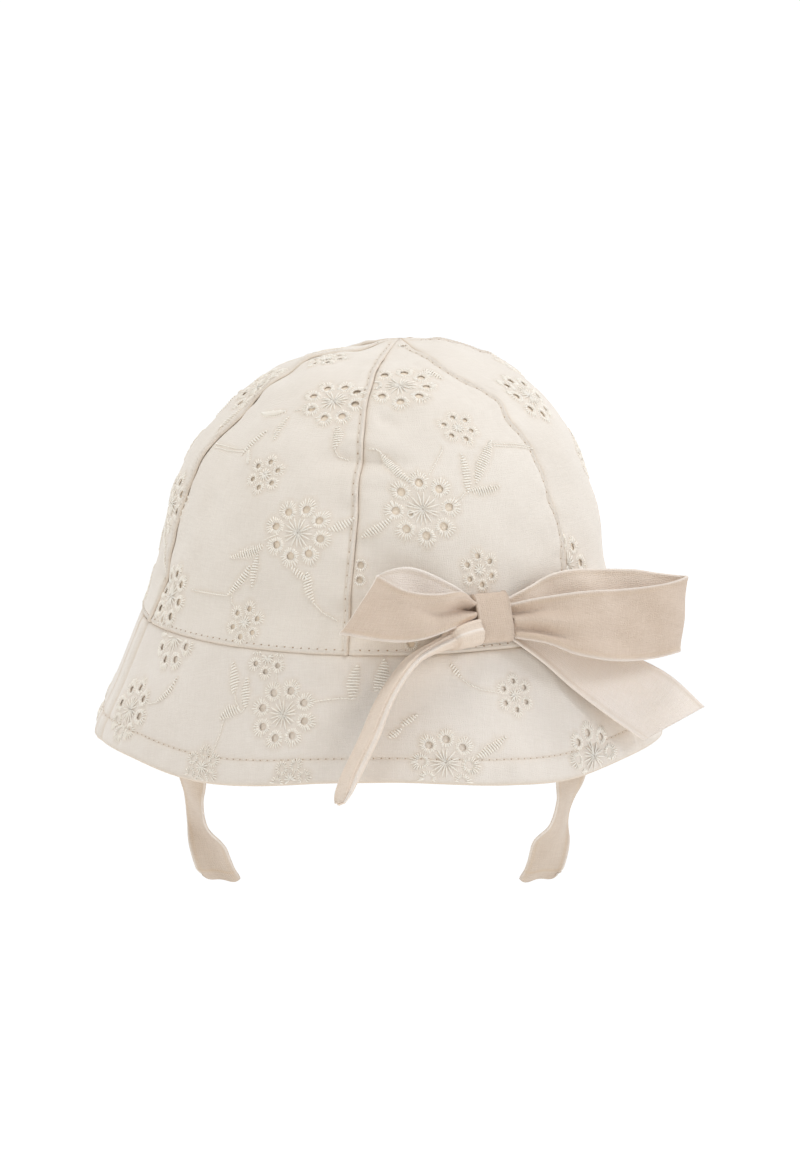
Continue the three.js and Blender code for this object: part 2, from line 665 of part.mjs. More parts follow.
// Knot: a soft square roll whose flat back lies just off the crown
function bowKnot() {
  const ring = (row) => {
    const points = [];
    for (let i = 0; i < KNOT_SECTION_STEPS; i += 1) {
      const angle = (2 * Math.PI * i) / KNOT_SECTION_STEPS;
      const up = Math.sign(Math.sin(angle)) * Math.abs(Math.sin(angle)) ** KNOT_SQUARENESS;
      const out = Math.sign(Math.cos(angle)) * Math.abs(Math.cos(angle)) ** KNOT_SQUARENESS;
      const lift = SEAM_GAP + KNOT_DEPTH / 2;
      points.push(
        bowPoint(row.side * KNOT_WIDTH, (up * row.size * KNOT_HEIGHT) / 2, lift + (out * row.size * KNOT_DEPTH) / 2),
      );
    }
    return points;
  };
  const rings = KNOT_ROWS.map(ring);
  const corners = [];
  for (let i = 0; i + 1 < rings.length; i += 1) {
    for (let j = 0; j < KNOT_SECTION_STEPS; j += 1) {
      const k = (j + 1) % KNOT_SECTION_STEPS;
      corners.push(rings[i][j], rings[i + 1][j], rings[i + 1][k]);
      corners.push(rings[i][j], rings[i + 1][k], rings[i][k]);
    }
  }
  const [first, last] = [rings[0], rings[rings.length - 1]];
  for (let j = 1; j + 1 < KNOT_SECTION_STEPS; j += 1) {
    corners.push(first[0], first[j], first[j + 1]);
    corners.push(last[0], last[j + 1], last[j]);
  }
  return bodyFrom(corners);
}

// Chin tie on one side, sewn in at the head seam and hanging free inside the brim
function chinTie(side) {
  const depth = BRIM_CLOTH + LAYER_GAP + FACING_CLOTH + TIE_CLEARANCE + TIE_CLOTH / 2;
  const seat = brimPoint(radians(side * TIE_AZIMUTH), 0, depth);
  const edge = (half) =>
    curvePoints(
      TIE_ROWS.map((row) => {
        const turn = radians(row.turn);
        return new THREE.Vector3(
          seat.x - side * row.sway * TIE_SWAY + side * half * TIE_WIDTH * Math.cos(turn),
          seat.y + half * TIE_WIDTH * Math.sin(turn),
          seat.z - row.drop * TIE_LENGTH,
        );
      }),
      TIE_STEPS,
    );
  return stripBetween(edge(-0.5), edge(0.5), 2, TIE_CLOTH);
}

const group = new THREE.Group();

function add(name, geometry, colour) {
  const material = new THREE.MeshStandardMaterial({ color: colour, roughness: 0.9, metalness: 0 });
  const mesh = new THREE.Mesh(geometry, material);
  mesh.name = name;
  group.add(mesh);
}

PANEL_NAMES.forEach((name, index) => add(`crown_panel_${name}`, crownPanel(index), COLOURS.crown));
add("crown_lining", crownLining(), COLOURS.lining);
add("brim_front", brimHalf(frontAngles, BRIM_FLOWERS), COLOURS.brim);
add("brim_back", brimHalf(backAngles, []), COLOURS.brim);
add("brim_facing", brimFacing(), COLOURS.facing);
add("bow_loop_left", bowLoop(LEFT_LOOP_ROWS, LEFT_LOOP, -1), COLOURS.ribbon);
add("bow_loop_right", bowLoop(RIGHT_LOOP_ROWS, RIGHT_LOOP, 1), COLOURS.ribbon);
add("bow_tail_left", bowTailLeft(), COLOURS.ribbon);
add("bow_tail_right", bowTailRight(), COLOURS.ribbon);
add("bow_knot", bowKnot(), COLOURS.ribbon);
add("tie_left", chinTie(-1), COLOURS.tie);
add("tie_right", chinTie(1), COLOURS.tie);

export default group;
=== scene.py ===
# Looks of a baby's cotton sun hat: fine cloth with pierced embroidery, a ribbon bow and two chin ties.
# Shapes are worked out in millimetres in the frame's own axes and become metres when a mesh is made.
# The front of the hat faces -Y, +X is on the right seen from the front and +Z is up.
import math

import bpy
import numpy as np
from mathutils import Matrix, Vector
from mathutils.geometry import delaunay_2d_cdt
from mathutils.kdtree import KDTree


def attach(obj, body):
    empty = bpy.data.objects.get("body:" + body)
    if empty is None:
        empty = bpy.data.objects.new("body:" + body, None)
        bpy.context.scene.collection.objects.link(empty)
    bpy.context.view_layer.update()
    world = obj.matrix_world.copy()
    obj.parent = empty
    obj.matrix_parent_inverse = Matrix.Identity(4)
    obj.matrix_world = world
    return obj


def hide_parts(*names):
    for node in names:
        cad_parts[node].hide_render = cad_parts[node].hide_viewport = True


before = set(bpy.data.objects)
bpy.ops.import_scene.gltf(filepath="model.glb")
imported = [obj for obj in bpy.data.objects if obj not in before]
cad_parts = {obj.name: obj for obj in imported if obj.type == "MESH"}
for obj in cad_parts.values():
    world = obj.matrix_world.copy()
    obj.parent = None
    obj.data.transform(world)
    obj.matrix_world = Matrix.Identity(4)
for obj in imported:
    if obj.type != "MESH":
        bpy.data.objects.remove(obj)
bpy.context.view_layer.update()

MM = 0.001

# Crown sizes in millimetres, as in the part's source
HEAD_WIDTH = 148
HEAD_LENGTH = 160
CROWN_HEIGHT = 83.3
CROWN_LEAN_RIGHT = 6.2
CROWN_LEAN_BACK = 8.1
LEAN_POWER = 2.2
PANEL_SWELL = 1.9
SEAM_SINK = 0.6
DENT_DEPTH = 1.6
CROWN_TIP = 0.5

# Brim sizes in millimetres
BRIM_WIDTH = 177.4
BRIM_LENGTH = 190
BRIM_DROP = 37
SIDE_SEAM = 80

# Layers of cloth: how deep each one's outer face lies, and how thick it is
PANEL_THICK = 0.32
LINING_DEPTH = 0.4
LINING_THICK = 0.5
BRIM_THICK = 0.4
FACING_DEPTH = 0.5
FACING_THICK = 0.6
HEM_ROLL = 0.9
HEM_EDGE = 0.55

# Distances between the points of the cloth meshes
PANEL_STEP = 1.15
BRIM_STEP = 1.25
FACING_STEP = 2.2

# Profile of a crown seam: height and reach as shares of the crown height and half width
CROWN_PROFILE = np.array(
    [
        (0, 1),
        (0.08, 0.967),
        (0.17, 0.935),
        (0.32, 0.899),
        (0.47, 0.853),
        (0.62, 0.784),
        (0.76, 0.661),
        (0.87, 0.503),
        (0.95, 0.304),
        (1, 0),
    ]
)

# The six seams in order round the crown: azimuth in degrees, 0 at the front and positive to the right
SEAMS = ("left", "centre", "right", "right_back", "back", "left_back")
SEAM_AZIMUTH = (-71, -7, 51, 111, 171, 230)

# How far each seam wanders in degrees as it climbs: height, then the six seams in order
SEAM_DRIFT = np.array(
    [
        (0, 0, 0, 0, 0, 0, 0),
        (0.23, -1.5, 0, 3.5, 1, 0, 0),
        (0.45, -1.5, 0, 6.5, 2, 0, 0),
        (0.62, -1, -0.8, 2, 1, 0, 0),
        (0.75, -1, -2, -1, 0, 0, 0),
        (0.88, -2, -4.5, -9.5, -4, -1, 0),
        (0.94, -4, -6, -22, -10, -4, -1),
        (1, -6, -9, -30, -16, -8, -4),
    ]
)

# How far each seam wanders from side to side, in millimetres
SEAM_WANDER = (0.6, 0.15, 1.3, 0.6, 0.4, 0.5)
PANEL_NAMES = ("front_left", "front_right", "right", "back_right", "back_left", "left")

# Broad dents of the soft crown: azimuth, rise, width in degrees, height as a share of the climb, depth
DENTS = (
    (-4, 0.455, 13, 0.022, 1),
    (2, 0.59, 11, 0.03, 0.6),
    (4, 0.2, 12, 0.07, 0.8),
    (-60, 0.5, 12, 0.1, 0.6),
    (140, 0.45, 20, 0.09, 0.7),
)

# Wave of the rim: azimuth and drop as a share of the brim drop
RIM = np.array(
    [
        (-180, 0.985),
        (-135, 1.03),
        (-90, 1.01),
        (-60, 0.99),
        (-37, 1.045),
        (0, 0.94),
        (37, 1.045),
        (60, 0.99),
        (90, 1.01),
        (135, 1.03),
        (180, 0.985),
    ]
)


def smoothstep(value, low, high):
    share = np.clip((value - low) / (high - low), 0, 1)
    return share * share * (3 - 2 * share)


def bump(value, middle, width):
    """Bell curve of height 1."""
    return np.exp(-(((value - middle) / width) ** 2))


def directions(angles):
    """Unit steps, across and up, at angles that turn clockwise from straight up."""
    return np.stack([np.sin(angles), np.cos(angles)], -1)


def read(places, values, at):
    """Smooth value between the rows of a table."""
    places = np.asarray(places, float)
    values = np.asarray(values, float)
    at = np.asarray(at, float)
    last = len(places) - 1
    i = np.clip(np.searchsorted(places, at, side="left") - 1, 0, last - 1)
    before = np.maximum(i - 1, 0)
    after = np.minimum(i + 2, last)
    span = places[i + 1] - places[i]
    start_slope = span * (values[i + 1] - values[before]) / (places[i + 1] - places[before])
    end_slope = span * (values[after] - values[i]) / (places[after] - places[i])
    t = np.clip((at - places[i]) / span, 0, 1)
    rise = t * t * (3 - 2 * t)
    pull = start_slope * t * (1 - t) ** 2 + end_slope * t * t * (t - 1)
    return values[i] * (1 - rise) + values[i + 1] * rise + pull


def spline_points(points, steps):
    """Points along a uniform Catmull-Rom curve whose ends are clamped."""
    points = np.asarray(points, float)
    last = len(points) - 1
    place = np.linspace(0, last, steps * last + 1)
    i = np.minimum(np.floor(place).astype(int), last - 1)
    t = (place - i)[:, None]
    before, start, end, after = (points[np.clip(i + k, 0, last)] for k in (-1, 0, 1, 2))
    start_pull = (end - before) / 2
    end_pull = (after - start) / 2
    cubic = (2 * start - 2 * end + start_pull + end_pull) * t**3
    square = (3 * end - 3 * start - 2 * start_pull - end_pull) * t**2
    return cubic + square + start_pull * t + start


# Soft irregular waves of the cloth: a sum of sines with fixed directions
wave_draws = np.random.default_rng(11)
WAVE_COUNT = 9
wave_directions = wave_draws.normal(size=(WAVE_COUNT, 3))
wave_directions /= np.linalg.norm(wave_directions, axis=1, keepdims=True)
wave_phases = wave_draws.uniform(0, 2 * np.pi, WAVE_COUNT)
wave_stretch = wave_draws.uniform(0.75, 1.35, WAVE_COUNT)


def waves(points, length, shift=0):
    """Smooth noise of about -1 to 1 at points in millimetres, with a typical wave length."""
    turns = points @ wave_directions.T * (2 * np.pi / length) * wave_stretch
    return np.sin(turns + wave_phases + shift * np.arange(1, WAVE_COUNT + 1)).sum(-1) / 3


def ripple(along, length, seed):
    """Irregular ripple of about -1 to 1 along an edge."""
    along = np.asarray(along, float)
    line = np.stack([along, 0 * along + 37 * seed, 0 * along], -1)
    return waves(line, length, seed)


profile = spline_points(CROWN_PROFILE[:, ::-1] * (HEAD_WIDTH / 2, CROWN_HEIGHT), 100)
profile_run = np.concatenate([[0], np.cumsum(np.hypot(*np.diff(profile, axis=0).T))])
CROWN_CLIMB = profile_run[-1]
profile_share = profile_run / CROWN_CLIMB
profile_slope = np.gradient(profile, profile_run, axis=0)


def crown_section(rise):
    """Reach, height and slope of the crown's profile at a share of the climb."""
    reach = np.interp(rise, profile_share, profile[:, 0])
    height = np.interp(rise, profile_share, profile[:, 1])
    slope = np.stack([np.interp(rise, profile_share, profile_slope[:, k]) for k in (0, 1)])
    return reach, height, slope / np.hypot(*slope)


def seam_angle(count, rise):
    """Azimuth in radians of a seam at a share of the climb; seams are counted on round the crown."""
    seam = count % len(SEAMS)
    reach, height = crown_section(rise)[:2]
    drift = read(SEAM_DRIFT[:, 0], SEAM_DRIFT[:, seam + 1], height / CROWN_HEIGHT)
    held = smoothstep(rise, 0.02, 0.15) * (1 - smoothstep(rise, 0.85, 0.97))
    wander = SEAM_WANDER[seam] * held * ripple(rise * CROWN_CLIMB, 17, 71 + seam) / np.maximum(reach, 10)
    return np.radians(SEAM_AZIMUTH[seam] + drift) + wander + 2 * np.pi * (count // len(SEAMS))


def outwards(angle, sideways, upwards):
    across = np.sin(angle)
    forward = -np.cos(angle) * HEAD_WIDTH / HEAD_LENGTH
    size = np.hypot(across, forward)
    normal = np.stack([sideways * across / size, sideways * forward / size, upwards + 0 * across], -1)
    return normal / np.linalg.norm(normal, axis=-1, keepdims=True)


def dent_at(angle, rise):
    depth = 0
    for azimuth, middle, wide, tall, deep in DENTS:
        turn = (np.degrees(angle) - azimuth + 180) % 360 - 180
        depth = depth + DENT_DEPTH * deep * bump(turn, 0, wide) * bump(rise, middle, tall)
    return depth


def crown_point(angle, rise, swell, lift):
    """Point of the crown. Swell is 0 at a seam and 1 in the middle of a panel; lift goes outwards."""
    reach, height, slope = crown_section(rise)
    share = height / CROWN_HEIGHT
    fade = smoothstep(share, 0, 0.15) * (1 - smoothstep(share, 0.9, 1))
    lean = share**LEAN_POWER
    out = reach + PANEL_SWELL * fade * (swell - SEAM_SINK) - dent_at(angle, rise)
    point = np.stack(
        [
            out * np.sin(angle) + CROWN_LEAN_RIGHT * lean,
            -out * np.cos(angle) * HEAD_LENGTH / HEAD_WIDTH + CROWN_LEAN_BACK * lean,
            height,
        ],
        -1,
    )
    return point + outwards(angle, slope[1], -slope[0]) * np.asarray(lift)[..., None]


def brim_point(angle, fall, lift):
    """Point of the brim from the head seam, fall 0, down to the rim, fall 1; lift goes outwards."""
    degrees = (np.degrees(angle) + 180) % 360 - 180
    drop = BRIM_DROP * read(RIM[:, 0], RIM[:, 1], degrees)
    half_width = HEAD_WIDTH / 2 + (BRIM_WIDTH - HEAD_WIDTH) / 2 * fall
    half_length = HEAD_LENGTH / 2 + (BRIM_LENGTH - HEAD_LENGTH) / 2 * fall
    point = np.stack([half_width * np.sin(angle), -half_length * np.cos(angle), -drop * fall], -1)
    normal = outwards(angle, drop, (BRIM_WIDTH - HEAD_WIDTH) / 2)
    return point + normal * np.asarray(lift)[..., None]


# Creases in the crown cloth: from and to as azimuth and rise, then depth and half width in millimetres
CREASES = (
    (-22, 0.478, 6, 0.468, 1.2, 2.1),
    (-14, 0.508, -5, 0.5, 0.45, 1.1),
    (-6, 0.578, 3, 0.57, 0.9, 1.8),
    (-9, 0.395, 2, 0.40, 0.35, 1.4),
    (-60, 0.36, -49, 0.30, 0.4, 2.2),
    (118, 0.5, 150, 0.46, 0.7, 2.0),
    (196, 0.38, 222, 0.41, 0.6, 1.8),
    (262, 0.55, 280, 0.5, 0.5, 1.8),
)

# How much each seam of the crown wobbles in and out, in millimetres, and how dark its painted shade is from 0
# to 1
SEAM_WOBBLE = (0.45, 0.3, 0.8, 0.6, 0.5, 0.6)
SEAM_SHADE = (0.6, 0.3, 1.0, 0.6, 0.5, 0.6)

# Stitched edges: how far the topstitching lies from the seam, and how wide the folded-under cloth is
TOPSTITCH = 1.6
BASE_TOPSTITCH = 1.6
SEAM_ALLOWANCE = 5.5
HEM_TOPSTITCH = 7.6

# How high the cloth stands over its seam allowance and in the hem, and how deep it dips in its seams
ALLOWANCE_STEP = 0.28
HEM_PUFF = 0.3
SEAM_TUCK = 0.45
BASE_TUCK = 0.55

# Half widths of a panel between which the relief of its seams fades out towards the crown's tip
TIP_FADE = (1.5, 9)

# Azimuth in degrees of the pressed line down the left of the front brim
FRONT_FOLD = -73.5

BRIM_SLANT = math.hypot((BRIM_WIDTH - HEAD_WIDTH) / 2, BRIM_DROP)
BRIM_FLARE = (BRIM_WIDTH - HEAD_WIDTH) / 2 / BRIM_SLANT
BRIM_CURL = (HEAD_WIDTH + HEAD_LENGTH) / 4 / BRIM_FLARE


def crown_waves(points, rise):
    """Broad softness of the crown, still at its base and its top."""
    held = smoothstep(rise, 0, 0.1) * (1 - smoothstep(rise, 0.9, 1))
    return held * (0.7 * waves(points, 44) + 0.33 * waves(points, 18, 1.3))


def crease_at(angle, rise):
    """Depth of the creases at places of the crown."""
    azimuth = (np.degrees(angle) + 90) % 360 - 90
    depth = 0
    for from_azimuth, from_rise, to_azimuth, to_rise, deep, width in CREASES:
        across_scale = np.radians(1) * crown_section((from_rise + to_rise) / 2)[0]
        start = np.array([from_azimuth * across_scale, from_rise * CROWN_CLIMB])
        run = np.array([to_azimuth * across_scale, to_rise * CROWN_CLIMB]) - start
        length = np.hypot(*run)
        offset = np.stack([azimuth * across_scale, rise * CROWN_CLIMB], -1) - start
        along = offset @ run / length
        side = (offset[..., 1] * run[0] - offset[..., 0] * run[1]) / length
        taper = smoothstep(along, -0.15 * length, 0.35 * length) * (
            1 - smoothstep(along, 0.65 * length, 1.15 * length)
        )
        depth = depth + taper * deep * (bump(side, 0, width) - 0.55 * bump(side, 2.3 * width, 1.6 * width))
    return depth


class CrownPanel:
    """One crown panel laid flat, in millimetres: x runs across from its middle and y up from the head seam."""

    def __init__(self, index):
        self.index = index
        self.rises = np.linspace(0, 1, 401)
        low = seam_angle(index, self.rises)
        high = seam_angle(index + 1, self.rises)
        middle = (low + high) / 2
        reach = crown_section(self.rises)[0]
        oval = np.hypot(np.cos(middle), np.sin(middle) * HEAD_LENGTH / HEAD_WIDTH)
        self.widths = (high - low) * reach * oval
        self.top = CROWN_CLIMB - CROWN_TIP

    def half_width(self, y):
        return np.interp(y / CROWN_CLIMB, self.rises, self.widths) / 2

    def from_seams(self, flat):
        """Half width of the panel at flat points and their distances from its left and right seams."""
        half = self.half_width(flat[..., 1])
        return half, np.maximum(half + flat[..., 0], 0), np.maximum(half - flat[..., 0], 0)

    def place(self, flat):
        """Azimuth in radians, rise and share across of flat points."""
        rise = flat[..., 1] / CROWN_CLIMB
        across = flat[..., 0] / np.maximum(2 * self.half_width(flat[..., 1]), 1e-3) + 0.5
        low = seam_angle(self.index, rise)
        return low + (seam_angle(self.index + 1, rise) - low) * across, rise, across

    def flat(self, azimuth, rise):
        """Flat point of an azimuth in degrees and a rise."""
        low = seam_angle(self.index, rise)
        high = seam_angle(self.index + 1, rise)
        turn = (np.radians(azimuth) - low + np.pi) % (2 * np.pi) - np.pi
        width = np.interp(rise, self.rises, self.widths)
        return np.stack([(turn / (high - low) - 0.5) * width, rise * CROWN_CLIMB], -1)

    def inside(self, flat, margin):
        half = self.half_width(flat[..., 1]) - margin
        return (np.abs(flat[..., 0]) < half) & (flat[..., 1] > margin) & (flat[..., 1] < self.top - margin)

    def open_ground(self, flat):
        return np.ones(len(flat), bool)

    def outline(self, step):
        rows = np.linspace(0, self.top, round(self.top / step) + 1)
        half = self.half_width(rows)
        bottom = np.linspace(-half[0], half[0], round(2 * half[0] / step) + 1)
        right = np.stack([half, rows], -1)
        left = np.stack([-half, rows], -1)
        return np.concatenate([np.stack([bottom, 0 * bottom], -1)[:-1], right, left[::-1][:-1]])

    def edge_rows(self, offsets, step):
        """Points that follow the two seams and the base at small distances."""
        found = []
        for offset in offsets:
            rows = np.arange(max(offset, offsets[0]), self.top, step)
            half = self.half_width(rows) - offset
            for side in (-1, 1):
                found.append(np.stack([side * half, rows], -1)[half > 0.6])
            half_base = self.half_width(offset) - offset
            along = np.linspace(-half_base, half_base, round(2 * half_base / step) + 1)[1:-1]
            found.append(np.stack([along, 0 * along + offset], -1))
        return np.concatenate(found)

    def soft_relief(self, flat, angle, rise, points):
        """Height of the broad folds, which the lining shares."""
        y = flat[..., 1]
        half, from_left, from_right = self.from_seams(flat)
        low, high = self.index, (self.index + 1) % len(SEAMS)
        wobble = SEAM_WOBBLE[low] * ripple(y, 30, 22 + low) * np.exp(-from_left / 5)
        wobble = wobble + SEAM_WOBBLE[high] * ripple(y, 30, 22 + high) * np.exp(-from_right / 5)
        allowance = 1 - smoothstep(from_right, SEAM_ALLOWANCE - 1, SEAM_ALLOWANCE + 1)
        wobble = wobble + ALLOWANCE_STEP * allowance
        return smoothstep(half, *TIP_FADE) * wobble + crown_waves(points, rise) - crease_at(angle, rise)

    def relief(self, flat, angle, rise, points):
        """Height of seams, folds and creases over the smooth panel."""
        y = flat[..., 1]
        half, from_left, from_right = self.from_seams(flat)
        low, high = self.index, (self.index + 1) % len(SEAMS)
        folded = 0.7 * bump(from_right, 0.75, 0.55) - 0.2 * bump(from_right, TOPSTITCH, 0.4)
        folded -= SEAM_TUCK * np.exp(-from_right / 0.25)
        tucked = -(0.3 + 0.4 * SEAM_SHADE[low]) * np.exp(-from_left / 0.7)
        pucker = 0.22 * ripple(y, 8, 2 + low) * bump(from_left, 2.5, 3)
        pucker = pucker + 0.25 * ripple(y, 7, 12 + high) * bump(from_right, 3, 3)
        base = -BASE_TUCK * np.exp(-np.maximum(y, 0) / 0.5) + 0.32 * bump(y, 1.0, 0.6)
        base = base - 0.18 * bump(y, BASE_TOPSTITCH, 0.45)
        base = base + 0.2 * ripple(angle * HEAD_WIDTH / 2, 8, 41) * bump(y, 3.5, 3)
        sewn = smoothstep(half, *TIP_FADE) * (folded + tucked + pucker) + base
        return sewn + self.soft_relief(flat, angle, rise, points)

    def shade(self, flat):
        """Painted shade in the seams, along the topstitching and at the base, from 0 to 1."""
        from_left, from_right = self.from_seams(flat)[1:]
        dark = SEAM_SHADE[self.index]
        sides = np.maximum(dark * np.exp(-from_left / 0.7), 0.3 * np.exp(-from_right / 0.2))
        sides = np.maximum(sides, 0.35 * bump(from_right, TOPSTITCH, 0.5))
        return np.maximum(sides, 0.35 * np.exp(-np.maximum(flat[..., 1], 0) / 0.5))

    def point(self, flat, lift=0.0):
        angle, rise, across = self.place(flat)
        swell = np.sin(np.pi * np.clip(across, 0, 1))
        smooth = crown_point(angle, rise, swell, 0 * rise)
        return crown_point(angle, rise, swell, lift + self.relief(flat, angle, rise, smooth))


def brim_waves(points, fall):
    """Broad softness of the brim, which grows towards the rim."""
    return (0.15 + 0.75 * fall) * waves(points, 72, 0.7) + (0.1 + 0.28 * fall) * waves(points, 24, 2.1)


class Brim:
    """A length of the brim laid flat as the ring sector it is cut from; y is up, in millimetres."""

    def __init__(self, middle, half):
        self.middle = math.radians(middle)
        self.half = math.radians(half)

    def place(self, flat):
        reach = np.hypot(flat[..., 0], BRIM_CURL - flat[..., 1])
        turn = np.arctan2(flat[..., 0], BRIM_CURL - flat[..., 1])
        return self.middle + turn / BRIM_FLARE, (reach - BRIM_CURL) / BRIM_SLANT

    def sector(self, reach, turns):
        """Flat points of the ring sector by their reach from its centre and their turn about it."""
        return np.stack([reach * np.sin(turns), BRIM_CURL - reach * np.cos(turns)], -1)

    def flat(self, azimuth, fall):
        turn = (np.radians(azimuth) - self.middle + np.pi) % (2 * np.pi) - np.pi
        return self.sector(BRIM_CURL + np.asarray(fall) * BRIM_SLANT, turn * BRIM_FLARE)

    def from_edges(self, angle, fall):
        """Distances in millimetres below the head seam and in from the nearer side seam."""
        down = np.maximum(fall, 0) * BRIM_SLANT
        side = (self.half - np.abs(angle - self.middle)) * (HEAD_WIDTH / 2 + down * BRIM_FLARE)
        return down, np.maximum(side, 0)

    def inside(self, flat, margin):
        angle, fall = self.place(flat)
        reach = BRIM_CURL + fall * BRIM_SLANT
        side = (self.half - np.abs(angle - self.middle)) * BRIM_FLARE * reach
        down = fall * BRIM_SLANT
        return (side > margin) & (down > margin) & (down < BRIM_SLANT - margin)

    def row(self, down, margin, step):
        """Flat points along the brim at a distance below the head seam."""
        reach = BRIM_CURL + down
        half = self.half * BRIM_FLARE - margin / reach
        count = round(2 * half * reach / step)
        return self.sector(reach, np.linspace(-half, half, count + 1))

    def column(self, side, margin, step):
        """Flat points down the brim at a distance from its left or right seam, side -1 or 1."""
        reach = BRIM_CURL + np.linspace(0, BRIM_SLANT, round(BRIM_SLANT / step) + 1)
        return self.sector(reach, side * (self.half * BRIM_FLARE - margin / reach))

    def outline(self, step):
        return np.concatenate(
            [
                self.row(BRIM_SLANT, 0, step)[:-1],
                self.column(1, 0, step)[::-1][:-1],
                self.row(0, 0, step)[::-1][:-1],
                self.column(-1, 0, step)[:-1],
            ]
        )

    def edge_rows(self, offsets, step):
        found = []
        for offset in offsets:
            found.append(self.row(offset, offset, step))
            found.append(self.row(BRIM_SLANT - offset, offset, step))
            for side in (-1, 1):
                found.append(self.column(side, offset, step)[2:-2])
        found += [self.row(BRIM_SLANT - HEM_TOPSTITCH + shift, 3.5, step) for shift in (-0.55, 0, 0.55)]
        return np.concatenate(found)

    def open_ground(self, flat):
        """True away from the rows of points along the hem's stitches."""
        up = BRIM_SLANT * (1 - self.place(flat)[1])
        return np.abs(up - HEM_TOPSTITCH) > 1.1

    def soft_relief(self, angle, fall, points):
        """Height of the folds that both layers of the brim share."""
        down = np.maximum(fall, 0) * BRIM_SLANT
        up = BRIM_SLANT - down
        run = angle * BRIM_WIDTH / 2
        hem = 0.26 * ripple(run, 7, 51) * bump(up, 4, 3.2) + 0.2 * ripple(run, 9, 52) * bump(up, 11, 3.5)
        head = -SEAM_TUCK * np.exp(-down / 0.6) + 0.12 * ripple(run, 10, 53) * bump(down, 3.5, 3)
        dent = 1.3 * bump(np.degrees(angle), -65, 5) * bump(fall, 0.3, 0.25)
        dent = dent + 0.5 * bump(np.degrees(angle), FRONT_FOLD, 0.9)
        dent = dent - 0.45 * bump(np.degrees(angle), FRONT_FOLD - 2.2, 1.2)
        return brim_waves(points, fall) + hem + head - dent

    def relief(self, angle, fall, points):
        """Height of hem, seams and folds over the smooth brim."""
        down, side = self.from_edges(angle, fall)
        up = BRIM_SLANT - down
        puff = HEM_PUFF * np.sin(np.pi * np.clip(up / HEM_TOPSTITCH, 0, 1)) ** 0.7
        groove = 0.22 * bump(up, HEM_TOPSTITCH, 0.6)
        seam = -SEAM_TUCK * np.exp(-side / 0.5) + 0.25 * bump(side, 1.1, 0.7)
        return self.soft_relief(angle, fall, points) + puff - groove + seam

    def shade(self, flat):
        """Painted shade in the seams, at the front fold, along the hem's stitches and at the hem's lower edge,
        from 0 to 1.
        """
        angle, fall = self.place(flat)
        down, side = self.from_edges(angle, fall)
        shade = np.maximum(0.35 * np.exp(-down / 0.5), 0.4 * bump(BRIM_SLANT - down, HEM_TOPSTITCH, 0.45))
        shade = np.maximum(shade, 0.45 * bump(np.degrees(angle), FRONT_FOLD, 0.6))
        shade = np.maximum(shade, 0.6 * np.exp(-np.maximum(BRIM_SLANT - down, 0) / 0.5))
        return np.maximum(shade, 0.8 * np.exp(-side / 0.5))

    def point(self, flat, lift=0.0):
        angle, fall = self.place(flat)
        smooth = brim_point(angle, fall, 0 * fall)
        return brim_point(angle, fall, lift + self.relief(angle, fall, smooth))


def unit(vectors):
    return vectors / np.linalg.norm(vectors, axis=-1, keepdims=True)


def tangents(surface, flat, step):
    """Steps of a surface to the right and upwards about flat points, for each flat millimetre."""
    right = (surface.point(flat + (step, 0)) - surface.point(flat - (step, 0))) / (2 * step)
    up = (surface.point(flat + (0, step)) - surface.point(flat - (0, step))) / (2 * step)
    return right, up


def normals_of(surface, flat):
    """Outward directions of a surface at flat points."""
    return unit(np.cross(*tangents(surface, flat, 0.05)))


def true_scale(surface, centre):
    """Matrix from true millimetres, across and up the hat, to flat millimetres about a place."""
    right, up = tangents(surface, centre, 0.5)
    normal = np.cross(right, up)
    level = unit(np.cross((0, 0, 1), normal))
    climb = unit(np.cross(normal, level))
    return np.linalg.inv(np.array([[right @ level, up @ level], [right @ climb, up @ climb]]))


def make_mesh(name, points, triangles, uv=None):
    """Smooth object from points and triangles; uv is one place in millimetres for each point."""
    mesh = bpy.data.meshes.new(name)
    triangles = np.asarray(triangles, np.int32)
    mesh.vertices.add(len(points))
    mesh.vertices.foreach_set("co", (np.asarray(points) * MM).astype(np.float32).ravel())
    mesh.loops.add(triangles.size)
    mesh.loops.foreach_set("vertex_index", triangles.ravel())
    mesh.polygons.add(len(triangles))
    mesh.polygons.foreach_set("loop_start", np.arange(0, triangles.size, 3, dtype=np.int32))
    mesh.polygons.foreach_set("use_smooth", np.full(len(triangles), True))
    mesh.update(calc_edges=True)
    if uv is not None:
        layer = mesh.uv_layers.new(name="cloth")
        layer.data.foreach_set("uv", np.asarray(uv, np.float32)[triangles.ravel()].ravel())
    thing = bpy.data.objects.new(name, mesh)
    bpy.context.scene.collection.objects.link(thing)
    return thing


def set_shade(thing, values, layer_name="sewn"):
    """Gives each point of a cloth a value from 0 to 1, the same outside and inside, for its material: how much
    painted shade or painted highlight it takes.
    """
    layer = thing.data.attributes.new(layer_name, "FLOAT", "POINT")
    layer.data.foreach_set("value", np.concatenate([values, values]).astype(np.float32))


def border_edges(triangles):
    """Directed edges that only one triangle has."""
    edges = np.concatenate([triangles[:, [0, 1]], triangles[:, [1, 2]], triangles[:, [2, 0]]])
    size = int(triangles.max()) + 1
    forward = edges[:, 0].astype(np.int64) * size + edges[:, 1]
    backward = edges[:, 1].astype(np.int64) * size + edges[:, 0]
    return edges[~np.isin(forward, backward)]


